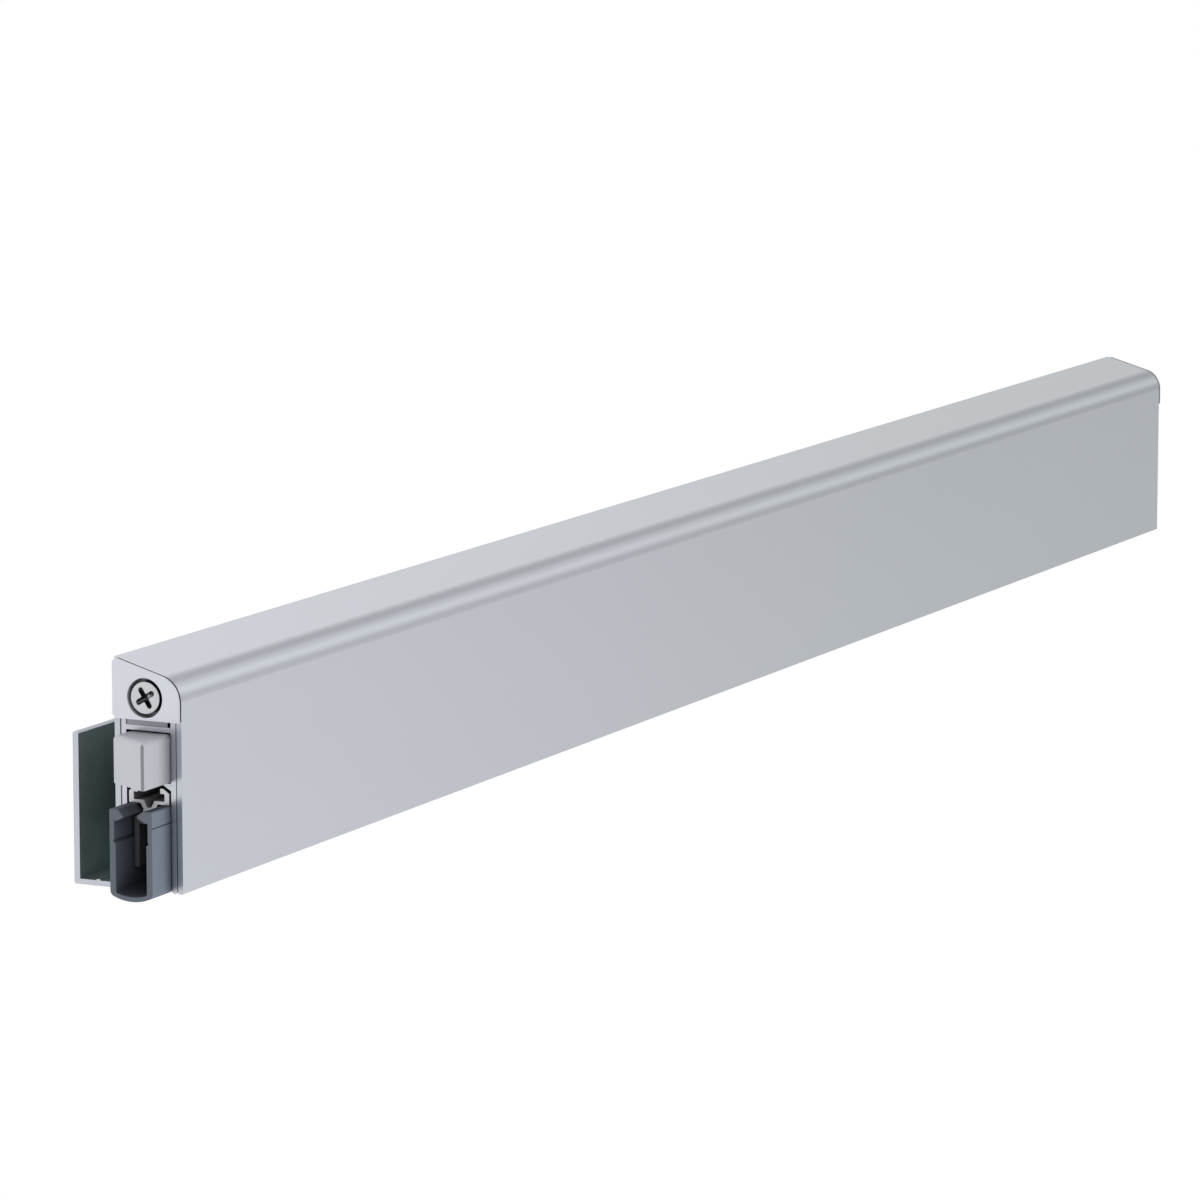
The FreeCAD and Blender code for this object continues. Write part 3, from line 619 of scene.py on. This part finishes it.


def cap_painted_shade(tree, wall):
    """Painted shade on the plug below the plate and down in the sink; the sink's wall from dark to light."""
    out = beyond_end(tree)
    along, _, up = object_axes(tree)
    foot = spread(tree, out, FOOT_SHADE, 1.0, *FOOT_SPAN)
    foot = maths(tree, "MAXIMUM", foot, spread(tree, up, 0.0, 1.0, CAP_FOOT, CAP_FOOT + CAP_FOOT_EDGE))
    foot = maths(tree, "MAXIMUM", foot, spread(tree, along, 0.0, FAR_CAP, 0.0, HALF_LENGTH))
    sink = spread(tree, out, SINK_SHADE, 1.0, *SINK_SPAN)
    shade = product(tree, foot, sink, openness(tree, *CAP_GAPS))
    return maths(tree, "MAXIMUM", shade, product(tree, wall, spread(tree, out, *WALL_SHADES, *WALL_SPAN)))


# %% Finish the caps
CAP_GRAIN = (900, 900, 900)
CAP_TONES = ((0.655, 0.672, 0.73), (0.675, 0.692, 0.75))
CAP_ROUGH = (0.29, 0.33)
CAP_BUMP = (0.03, 0.02 * MM)


def cap_metal():
    """Fine-grained satin metal with a matt sink and painted shade."""
    material, tree, shader = new_material("satin_cap")
    grain = grain_of(tree, CAP_GRAIN, detail=4)
    wall = product(tree, spread(tree, screw_radial(tree), 1.0, 0.0, *SINK_RADIUS),
                   opposite(tree, looks_along(tree, "X")))
    dress(tree, shader, blended(tree, grain, *CAP_TONES), cap_painted_shade(tree, wall), spread(tree, grain, *CAP_ROUGH))
    tree.links.new(dimmed(tree, wall, 0.0), shader.inputs["Metallic"])
    bump(tree, shader, grain, *CAP_BUMP)
    return material


FINISH["end_cap_near"] = FINISH["end_cap_far"] = cap_metal()
print("caps:", FINISH["end_cap_near"].name)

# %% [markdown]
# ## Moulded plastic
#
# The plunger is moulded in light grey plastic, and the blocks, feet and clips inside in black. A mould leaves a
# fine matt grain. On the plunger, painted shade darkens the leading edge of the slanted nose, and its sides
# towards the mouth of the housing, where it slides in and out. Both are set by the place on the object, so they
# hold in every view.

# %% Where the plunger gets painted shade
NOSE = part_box("release_plunger")[0].x
# painted shade on the nose's leading edge and on the sides near the housing's mouth
EDGE_SHADE = 0.40
EDGE_SHADE_SPAN = (NOSE + 0.24 * MM, NOSE + 0.30 * MM)
MOUTH_SHADE = 0.62
MOUTH_SHADE_REACH = 4.4 * MM


def plunger_painted_shade(tree):
    """Painted shade: dark along the leading edge, and on the sides near the housing."""
    edge = spread(tree, object_axes(tree)[0], EDGE_SHADE, 1.0, *EDGE_SHADE_SPAN)
    mouth = spread(tree, beyond_end(tree), 1.0, 0.0, 0.0, MOUTH_SHADE_REACH)
    return product(tree, edge, dimmed(tree, product(tree, mouth, looks_along(tree, "Y")), MOUTH_SHADE))


print("the nose stands out", round((-HALF_LENGTH - NOSE) / MM, 1), "mm")

# %% Finish the plastic pieces
PLASTIC_GRAIN = (1600, 1600, 1600)
PLASTIC_SHARE = 0.02
PLASTIC_ROUGH = 0.06
PLASTIC_DEPTH = 0.6
PLASTIC_BUMP = (0.10, 0.03 * MM)
BLACK_PIECES = ("anchor_near", "anchor_far", "slider_near", "slider_far", "hanger_near", "hanger_far", "rod_end",
                "seal_clip_near", "seal_clip_far")


def moulded_plastic(name, tone, rough, reach, extra_shade=None):
    """Matt plastic with a fine grain and painted shade in its gaps; the last argument adds more painted shade."""
    material, tree, shader = new_material(name)
    grain = grain_of(tree, PLASTIC_GRAIN)
    shade = openness(tree, reach, PLASTIC_DEPTH)
    if extra_shade:
        shade = product(tree, shade, extra_shade(tree))
    dress(tree, shader, mottled(tree, grain, tone, PLASTIC_SHARE), shade,
          spread(tree, grain, rough - PLASTIC_ROUGH, rough + PLASTIC_ROUGH))
    bump(tree, shader, grain, *PLASTIC_BUMP)
    return material


FINISH.update(dict.fromkeys(BLACK_PIECES, moulded_plastic("black_plastic", (0.080, 0.082, 0.088), 0.45, 3 * MM)))
FINISH["release_plunger"] = moulded_plastic("grey_plastic", (0.52, 0.535, 0.58), 0.42, 7 * MM, plunger_painted_shade)
print("plastic pieces:", len(BLACK_PIECES) + 1)

# %% [markdown]
# ## Extruded rubber
#
# The profile is a dark blue-grey rubber with a dull skin. Rubber has no sharp highlight, so its roughness is high
# and its grain shows more than its gloss. Painted shade makes the cut ends and the inside of the hollow darker
# than the skin, and also the stretch that lies under the housing.

# %% Finish the rubber
RUBBER_GRAIN = (300, 2500, 2500)
RUBBER_SKIN = ((0.160, 0.196, 0.248), (0.170, 0.208, 0.262))
# painted shade: inside the hollow, on the cut ends and on the stretch under the housing
RUBBER_HOLLOW_SHADE = (0.085, 0.095, 0.125)
RUBBER_CUT_SHADE = (0.100, 0.117, 0.145)
HOLLOW_SPAN = (4.2 * MM, 4.5 * MM)
HOUSED_SHADE = 0.70
HOUSED_SPAN = (-0.5 * MM, 2.8 * MM)
RUBBER_ROUGH = (0.48, 0.62)
RUBBER_BUMP = (0.12, 0.03 * MM)
RUBBER_GAPS = (6 * MM, 1.2)

seal_low, seal_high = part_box("seal_profile")
SEAL_MIDDLE = (seal_low.y + seal_high.y) / 2


def seal_rubber():
    """Dull rubber, with painted shade inside, on its cuts and under the housing."""
    material, tree, shader = new_material("extruded_rubber")
    grain = grain_of(tree, RUBBER_GRAIN, detail=4)
    hollow = spread(tree, off_middle(tree, object_axes(tree)[1], SEAL_MIDDLE), 1.0, 0.0, *HOLLOW_SPAN)
    colour = blended(tree, hollow, blended(tree, grain, *RUBBER_SKIN), RUBBER_HOLLOW_SHADE)
    colour = blended(tree, looks_along(tree, "X"), colour, RUBBER_CUT_SHADE)
    housed = spread(tree, beyond_end(tree), HOUSED_SHADE, 1.0, *HOUSED_SPAN)
    shade = product(tree, openness(tree, *RUBBER_GAPS), maths(tree, "MAXIMUM", housed, hollow))
    dress(tree, shader, colour, shade, spread(tree, grain, *RUBBER_ROUGH))
    bump(tree, shader, grain, *RUBBER_BUMP)
    return material


FINISH["seal_profile"] = seal_rubber()
print("rubber middle at y", round(SEAL_MIDDLE / MM, 3), "mm")

# %% [markdown]
# ## Steel
#
# Screws, rivets, pins, the spindle and its nut are plated steel, and the springs are bright rolled strip. A
# mirror finish would sparkle with noise on such small pieces, so all have a satin grain and painted shade in
# their gaps. The cap screws get more care, because they show: painted shade darkens the side of the head and,
# more, the punched cross, and painted light keeps the small cone in its middle bright.

# %% Painted light and shade on a cap screw
# painted shade on the head's side and cross, and painted light on the cone
HEAD_SIDE_SHADE = 0.06
HEAD_SIDE_SPAN = (0.2 * MM, 0.76 * MM)
HEAD_FACE_SPAN = (2.8 * MM, 3.0 * MM)
CROSS_SHADE = 0.36
CROSS_SPAN = (0.50 * MM, 0.78 * MM)
CONE_LIGHT = 0.9
CONE_SPAN = (0.3 * MM, 0.5 * MM)
CONE_METAL = 0.1


def screw_shade(tree, shade, cone):
    """Painted shade on the side of the head and its cross, and painted light on the cone."""
    out = beyond_end(tree)
    side = maths(tree, "MAXIMUM", spread(tree, out, HEAD_SIDE_SHADE, 1.0, *HEAD_SIDE_SPAN),
                 spread(tree, screw_radial(tree), 1.0, 0.0, *HEAD_FACE_SPAN))
    return maths(tree, "MAXIMUM", product(tree, shade, side, spread(tree, out, CROSS_SHADE, 1.0, *CROSS_SPAN)), cone)


# %% Finish the steel pieces
STEEL_GRAIN = (1200, 1200, 1200)
STEEL_SHARE = 0.04
STEEL_ROUGH = 0.03
STEEL_GAPS = (2 * MM, 0.6)
PLATED_PIECES = ("anchor_rivets", "anchor_pins", "rod_rivets", "hanger_rivets", "adjusting_spindle", "lock_nut")


def steel(name, tone, rough, head=False):
    """Satin steel; head adds the painted light and shade of a cap screw's head."""
    material, tree, shader = new_material(name)
    shader.inputs["Metallic"].default_value = 1.0
    grain = grain_of(tree, STEEL_GRAIN)
    shade = openness(tree, *STEEL_GAPS)
    if head:
        cone = spread(tree, screw_radial(tree), CONE_LIGHT, 0.0, *CONE_SPAN)
        shade = screw_shade(tree, shade, cone)
        tree.links.new(spread(tree, cone, 1.0, CONE_METAL, 0.0, CONE_LIGHT), shader.inputs["Metallic"])
    dress(tree, shader, mottled(tree, grain, tone, STEEL_SHARE), shade,
          spread(tree, grain, rough - STEEL_ROUGH, rough + STEEL_ROUGH))
    return material


FINISH.update(dict.fromkeys(PLATED_PIECES, steel("zinc_steel", (0.60, 0.60, 0.62), 0.30)))
FINISH["cap_screw_near"] = FINISH["cap_screw_far"] = steel("bright_screw", (0.59, 0.605, 0.63), 0.32, head=True)
FINISH["channel_rivets"] = steel("plain_rivet", (0.66, 0.66, 0.68), 0.35)
FINISH["leaf_spring_near"] = FINISH["leaf_spring_far"] = steel("rolled_strip", (0.42, 0.43, 0.46), 0.28)
print("nodes with a finish:", len(FINISH), "of", len(NODES))

# %% Put each finish on its node
for node, material in FINISH.items():
    NODES[node].material_slots[0].material = material
    print(node, "->", material.name)

# %% [markdown]
# ## A kit for pieces
#
# Some pieces need finer forms than their solids carry. Modifiers could round a solid's edges, but not each by
# its own radius, so these pieces are drawn anew from points. Each is a tube through rings: an outline is drawn
# once, its corners are rounded, and it is set down again and again along the piece.


# %% Round and shrink an outline
def rounded(corners, steps=5):
    """Points of a closed outline; each corner is (across, up, radius)."""
    outline = []
    for index, (across, up, radius) in enumerate(corners):
        here = Vector((across, up))
        if not radius:
            outline.append(here)
            continue
        back = (Vector(corners[index - 1][:2]) - here).normalized()
        ahead = (Vector(corners[(index + 1) % len(corners)][:2]) - here).normalized()
        half = back.angle(ahead) / 2
        centre = here + (back + ahead).normalized() * radius / math.sin(half)
        start = here + back * radius / math.tan(half) - centre
        stop = here + ahead * radius / math.tan(half) - centre
        sweep = math.atan2(start.x * stop.y - start.y * stop.x, start.dot(stop))
        for step in range(steps + 1):
            turn = sweep * step / steps
            outline.append(centre + Vector((start.x * math.cos(turn) - start.y * math.sin(turn),
                                            start.x * math.sin(turn) + start.y * math.cos(turn))))
    return outline


def shrunk(outline, inwards):
    """The same outline moved into the material, with mitred corners."""
    moved = []
    for index, here in enumerate(outline):
        before = (here - outline[index - 1]).normalized()
        after = (outline[(index + 1) % len(outline)] - here).normalized()
        first, second = Vector((-before.y, before.x)), Vector((-after.y, after.x))
        moved.append(here + (first + second) * inwards / (1 + first.dot(second)))
    return moved


# %% From rings to a piece
SHARP = math.radians(32)   # edges that turn more than this stay sharp


def skin(rings):
    """Points and faces of a closed tube through rings of equal length."""
    count = len(rings[0])
    points = [point for ring in rings for point in ring]
    faces = []
    for start in range(0, len(points) - count, count):
        for index in range(count):
            following = (index + 1) % count
            faces.append((start + index, start + following, start + count + following, start + count + index))
    return points, faces + [tuple(range(count)), tuple(range(len(points) - count, len(points)))]


def make_piece(name, points, faces, slot, node):
    """A smooth piece with its true edges kept sharp, which stands for a solid and wears its finish."""
    mesh = bpy.data.meshes.new(name)
    mesh.from_pydata(points, [], faces)
    work = bmesh.new()
    work.from_mesh(mesh)
    bmesh.ops.triangulate(work, faces=[face for face in work.faces if len(face.verts) > 4])
    bmesh.ops.recalc_face_normals(work, faces=work.faces)
    work.to_mesh(mesh)
    work.free()
    mesh.polygons.foreach_set("use_smooth", [True] * len(mesh.polygons))
    mesh.set_sharp_from_angle(angle=SHARP)
    mesh.materials.append(FINISH[node])
    piece = bpy.data.objects.new(name, mesh)
    bpy.context.scene.collection.objects.link(piece)
    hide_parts(node)
    print(name, len(mesh.polygons), "faces")
    return piece


# %% [markdown]
# ## The rubber profile
#
# The seal is one extruded rubber section: an arched foot, two walls with a hinge line inside and a score line
# outside, and barbs that grip the bar's keel. It is cut to length with a blade, so its ends are flat with soft
# edges. The section is drawn once as half an outline with a radius at each corner, mirrored, and run along X.

# %% Draw the rubber's section
SEAL_FLOOR = 1.3   # height of the frame's zero above the underside of the channel, in mm
HALF_SECTION = [
    (0, -0.75, 0), (0.96, -0.70, 0), (1.90, -0.57, 0), (2.88, -0.33, 0), (3.82, 0.01, 0), (4.65, 0.40, 1.2),
    (4.65, 13.56, 0), (4.47, 13.70, 0), (4.65, 13.84, 0), (4.65, 16.90, 0.35), (2.75, 16.90, 0.15),
    (1.70, 15.55, 0), (1.70, 15.35, 0), (3.05, 14.65, 0.15), (3.65, 14.65, 0.12), (3.65, 11.05, 0.12),
    (3.90, 10.70, 0.10), (3.35, 10.35, 0.12), (3.35, 0.75, 0.40), (2.27, 0.45, 0), (1.13, 0.26, 0), (0, 0.20, 0)]

other_half = [(-across, up, radius) for across, up, radius in HALF_SECTION[-2:0:-1]]
section = rounded(HALF_SECTION + other_half)
print("rubber outline:", len(section), "points")

# %% Run the section along X
END_ROUND = 0.10   # radius of the cut ends' edges, in mm
END_STEPS = 3
SEAL_STATIONS = 12


def seal_stations(x0, x1):
    """(x, inset) along the length, in mm: rounded at both cut ends."""
    start, stop = [], []
    for step in range(END_STEPS + 1):
        turn = math.pi / 2 * step / END_STEPS
        inset = END_ROUND * (1 - math.sin(turn))
        back = END_ROUND * (1 - math.cos(turn))
        start.append((x0 + back, inset))
        stop.insert(0, (x1 - back, inset))
    middle = [(x0 + (x1 - x0) * step / SEAL_STATIONS, 0) for step in range(1, SEAL_STATIONS)]
    return start + middle + stop


rings = [[(x * MM, SEAL_MIDDLE + across * MM, (up - SEAL_FLOOR) * MM) for across, up in shrunk(section, inset)]
         for x, inset in seal_stations(seal_low.x / MM, seal_high.x / MM)]
rubber = make_piece("seal_rubber_profile", *skin(rings), "seal_rubber", "seal_profile")
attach(rubber, "drop")

# %% [markdown]
# ## The cap screws
#
# Each cap is held by a cross recess screw in its deep round sink. The head is turned, and the cross is punched
# with a tapered tool, so its arms have round ends and its floor rises to a small cone. Cutting one mesh from
# another leaves ragged faces, so the head is a polar grid whose rings follow the cross inside and the circle
# outside. The shank is a ridged tube of its own.

# %% Edge of the cross in every direction
SCREW_COLUMNS = 192
CROSS_TURN = math.radians(57.5)
CROSS_BLEND = 6                 # the higher, the sharper its inner corners
CROSS_LEVELS = [(0.0, 2.28, 0.58), (0.04, 2.24, 0.53), (0.15, 2.20, 0.50), (0.6, 1.92, 0.45), (1.1, 1.50, 0.40),
                (1.45, 1.12, 0.34), (1.6, 0.92, 0.30)]   # depth, half span and half width, in mm


def arm_reach(turn, span, half):
    """Distance from the middle to the edge of a slot with round ends, in one direction."""
    along, side = abs(math.cos(turn)), abs(math.sin(turn))
    straight = span - half
    if side > 0 and half * along / side <= straight:
        return half / side
    return straight * along + math.sqrt(max(0.0, half ** 2 - (straight * side) ** 2))


def cross_reach(turn, span, half):
    """Edge of a cross of two such slots, with its inner corners rounded."""
    arms = [arm_reach(turn - CROSS_TURN + quarter, span, half) for quarter in (0, math.pi / 2)]
    return sum(arm ** CROSS_BLEND for arm in arms) ** (1 / CROSS_BLEND)


print("cross:", len(CROSS_LEVELS), "levels, span", round(2 * CROSS_LEVELS[0][1], 2), "mm")

# %% The head
HEAD_RADIUS = 3.15
HEAD_HEIGHT = 2.0
HEAD_ROUND = 0.20               # radius of its upper edge
HEAD_ROUND_STEPS = 4
HEAD_CHAMFER = 0.10             # bevel of its lower edge
HEAD_FACE_SHARES = (0.25, 0.6, 1.0)
UNDERSIDE_RADIUS = 1.4
CONE_TIP = (1.38, 0.02)         # depth and radius
CONE_FOOT = (1.52, 0.30)        # depth, and share of the cross's floor


def head_rings():
    """Rings of (depth, across, up) in mm, from the cone out over the face and round to the shank."""
    turns = [2 * math.pi * column / SCREW_COLUMNS for column in range(SCREW_COLUMNS)]
    floor = [cross_reach(turn, *CROSS_LEVELS[-1][1:]) for turn in turns]
    rings = [(CONE_TIP[0], [CONE_TIP[1]] * SCREW_COLUMNS), (CONE_FOOT[0], [CONE_FOOT[1] * reach for reach in floor])]
    for depth, span, half in CROSS_LEVELS[::-1]:
        rings.append((depth, [cross_reach(turn, span, half) for turn in turns]))
    flat = HEAD_RADIUS - HEAD_ROUND
    edge = rings[-1][1]
    rings += [(0.0, [reach + (flat - reach) * share for reach in edge]) for share in HEAD_FACE_SHARES]
    for step in range(1, HEAD_ROUND_STEPS + 1):
        turn = math.pi / 2 * step / HEAD_ROUND_STEPS
        rings.append((HEAD_ROUND * (1 - math.cos(turn)), [flat + HEAD_ROUND * math.sin(turn)] * SCREW_COLUMNS))
    for depth, radius in ((HEAD_HEIGHT - HEAD_CHAMFER, HEAD_RADIUS), (HEAD_HEIGHT, HEAD_RADIUS - HEAD_CHAMFER),
                          (HEAD_HEIGHT, UNDERSIDE_RADIUS)):
        rings.append((depth, [radius] * SCREW_COLUMNS))
    return [[(depth, reach * math.cos(turn), reach * math.sin(turn)) for turn, reach in zip(turns, reaches)]
            for depth, reaches in rings]


print("head:", len(head_rings()), "rings")

# %% The threaded shank
THREAD_OUTER = 1.55
THREAD_ROOT = 1.22
THREAD_PITCH = 0.8
THREAD_COLUMNS = 40
RINGS_PER_PITCH = 8
RIDGE_HALF = 0.32       # half the ridge's width, as a share of the pitch
POINT_LENGTH = 2.0
POINT_SHARE = 0.35      # radius left at the very point
SHANK_SUNK = 0.2        # how far the shank starts inside the head


def thread_rings(x0, x1):
    """Rings of a screw thread from x0 to x1, which runs out into a point."""
    count = round((x1 - x0) / THREAD_PITCH * RINGS_PER_PITCH)
    rings = []
    for index in range(count + 1):
        x = x0 + (x1 - x0) * index / count
        narrow = min(1.0, POINT_SHARE + (1 - POINT_SHARE) * (x1 - x) / POINT_LENGTH)
        ring = []
        for column in range(THREAD_COLUMNS):
            turn = 2 * math.pi * column / THREAD_COLUMNS
            phase = ((x - x0) / THREAD_PITCH - column / THREAD_COLUMNS) % 1.0
            ridge = max(0.0, 1 - abs(phase - 0.5) / RIDGE_HALF)
            reach = (THREAD_ROOT + (THREAD_OUTER - THREAD_ROOT) * ridge) * narrow
            ring.append((x, reach * math.cos(turn), reach * math.sin(turn)))
        rings.append(ring)
    return rings


# %% Drive the screws
def make_screw(name, node, side):
    """Head and shank in one piece; side is -1 at the hinge end and 1 at the far end."""
    low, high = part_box(node)
    face = low.x if side < 0 else high.x
    points, faces = skin(head_rings())
    shank_points, shank_faces = skin(thread_rings(HEAD_HEIGHT - SHANK_SUNK, (high.x - low.x) / MM))
    faces += [tuple(index + len(points) for index in corners) for corners in shank_faces]
    points += shank_points
    placed = [(face - side * depth * MM, SCREW_Y + across * MM, SCREW_Z + up * MM) for depth, across, up in points]
    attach(make_piece(name, placed, faces, "screw_steel", node), "frame")


make_screw("cap_screw_head_near", "cap_screw_near", -1)
make_screw("cap_screw_head_far", "cap_screw_far", 1)

# %% [markdown]
# ## The leaf springs
#
# Each spring is a strip of rolled steel, bowed by the push rod. One end sits in a block of the housing, the other
# in a slider that the rod moves, and its middle goes down with the bar. One piece can bend between two bodies
# only. The strip is made of three pieces: two flanks and a flat end beside the slider. The flanks follow half a
# cosine wave, and the strip's long edges are rounded as rolled strip is.

# %% The strip's section and its flank
SPRING_FALL = 2.9      # depth of the bow at rest, in mm
SPRING_SHEET = 0.40
SPRING_FLAT = 4.5      # half the flat middle
SPRING_TAB = 8.0       # flat end in a slider or an anchor
SPRING_EDGE = 0.12
GIVING_WAY = 14.0      # length of flat strip beside the slider
GIVING_STEPS = 7
FLANK_STEPS = 40


def strip_section(half_width):
    """Cross-section of the strip: a flat band with rounded edges, from its underside."""
    return rounded([(-half_width, 0, SPRING_EDGE), (half_width, 0, SPRING_EDGE),
                    (half_width, SPRING_SHEET, SPRING_EDGE), (-half_width, SPRING_SHEET, SPRING_EDGE)], steps=4)


def flank(flank_start):
    """(distance from the middle, fall) from the top of a flank to the strip's middle."""
    stations = []
    for step in range(FLANK_STEPS + 1):
        share = step / FLANK_STEPS
        away = flank_start + (SPRING_FLAT - flank_start) * share
        stations.append((away, SPRING_FALL * (1 - math.cos(math.pi * share)) / 2))
    return stations + [(0.0, SPRING_FALL)]


print("flank:", FLANK_STEPS, "steps, falls", SPRING_FALL, "mm")


# %% Bend the springs
def make_strip(name, node, side, stations, start, stop):
    """A length of strip along its stations, with start and stop both counted from its middle."""
    low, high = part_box(node)
    middle, centre = (low.x + high.x) / 2 / MM, (low.y + high.y) / 2 / MM
    top = high.z / MM - SPRING_SHEET
    band = strip_section((high.y - low.y) / 2 / MM)
    rings = [[((middle + side * away) * MM, (centre + across) * MM, (top - fall + up) * MM) for across, up in band]
             for away, fall in stations]
    piece = make_piece(name, *skin(rings), "spring_steel", node)
    start, stop = [((middle + side * away) * MM, centre * MM, top * MM) for away in (start, stop)]
    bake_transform(piece)


for node in ("leaf_spring_near", "leaf_spring_far"):
    low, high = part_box(node)
    reach = (high.x - low.x) / 2 / MM
    tab = reach - SPRING_TAB
    bend = tab - GIVING_WAY
    slider_end = [(reach, 0.0)] + [(tab - GIVING_WAY * step / GIVING_STEPS, 0.0) for step in range(GIVING_STEPS + 1)]
    make_strip(node + "_slider_end", node, -1, slider_end, tab, bend)
    make_strip(node + "_flank_a", node, -1, flank(bend), bend, SPRING_FLAT)
    make_strip(node + "_flank_b", node, 1, [(reach, 0.0)] + flank(tab), tab, SPRING_FLAT)

# %% [markdown]
# ## Broken edges
#
# No sawn or pressed edge is knife sharp. A bevel modifier of a tenth of a millimetre gives each edge the thin
# line of light that the real one shows. Bevelling the mesh itself would do the same, but the modifier leaves the
# solid's own mesh as it is.

# %% Bevel the edges
SMALL_EDGE = 0.06
EDGE = {"release_plunger": 0.10, "end_cap_near": 0.15, "end_cap_far": 0.15, "cover_profile": 0.13,
        "glass_channel": 0.13, "seal_housing": 0.13, "drop_bar": 0.10}

bevelled = [node for node in NODES if not NODES[node].hide_render]
for node in bevelled:
    soft = NODES[node].modifiers.new("broken_edge", "BEVEL")
    soft.width = EDGE.get(node, SMALL_EDGE) * MM
    soft.segments = 2
    soft.limit_method = "ANGLE"
    soft.angle_limit = SHARP
    soft.use_clamp_overlap = True
    soft.harden_normals = False
print("edges broken on", len(bevelled), "nodes")

# %% Write the sizes and finish
low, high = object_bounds()
print("dressed box:", [round(v, 4) for v in high - low])
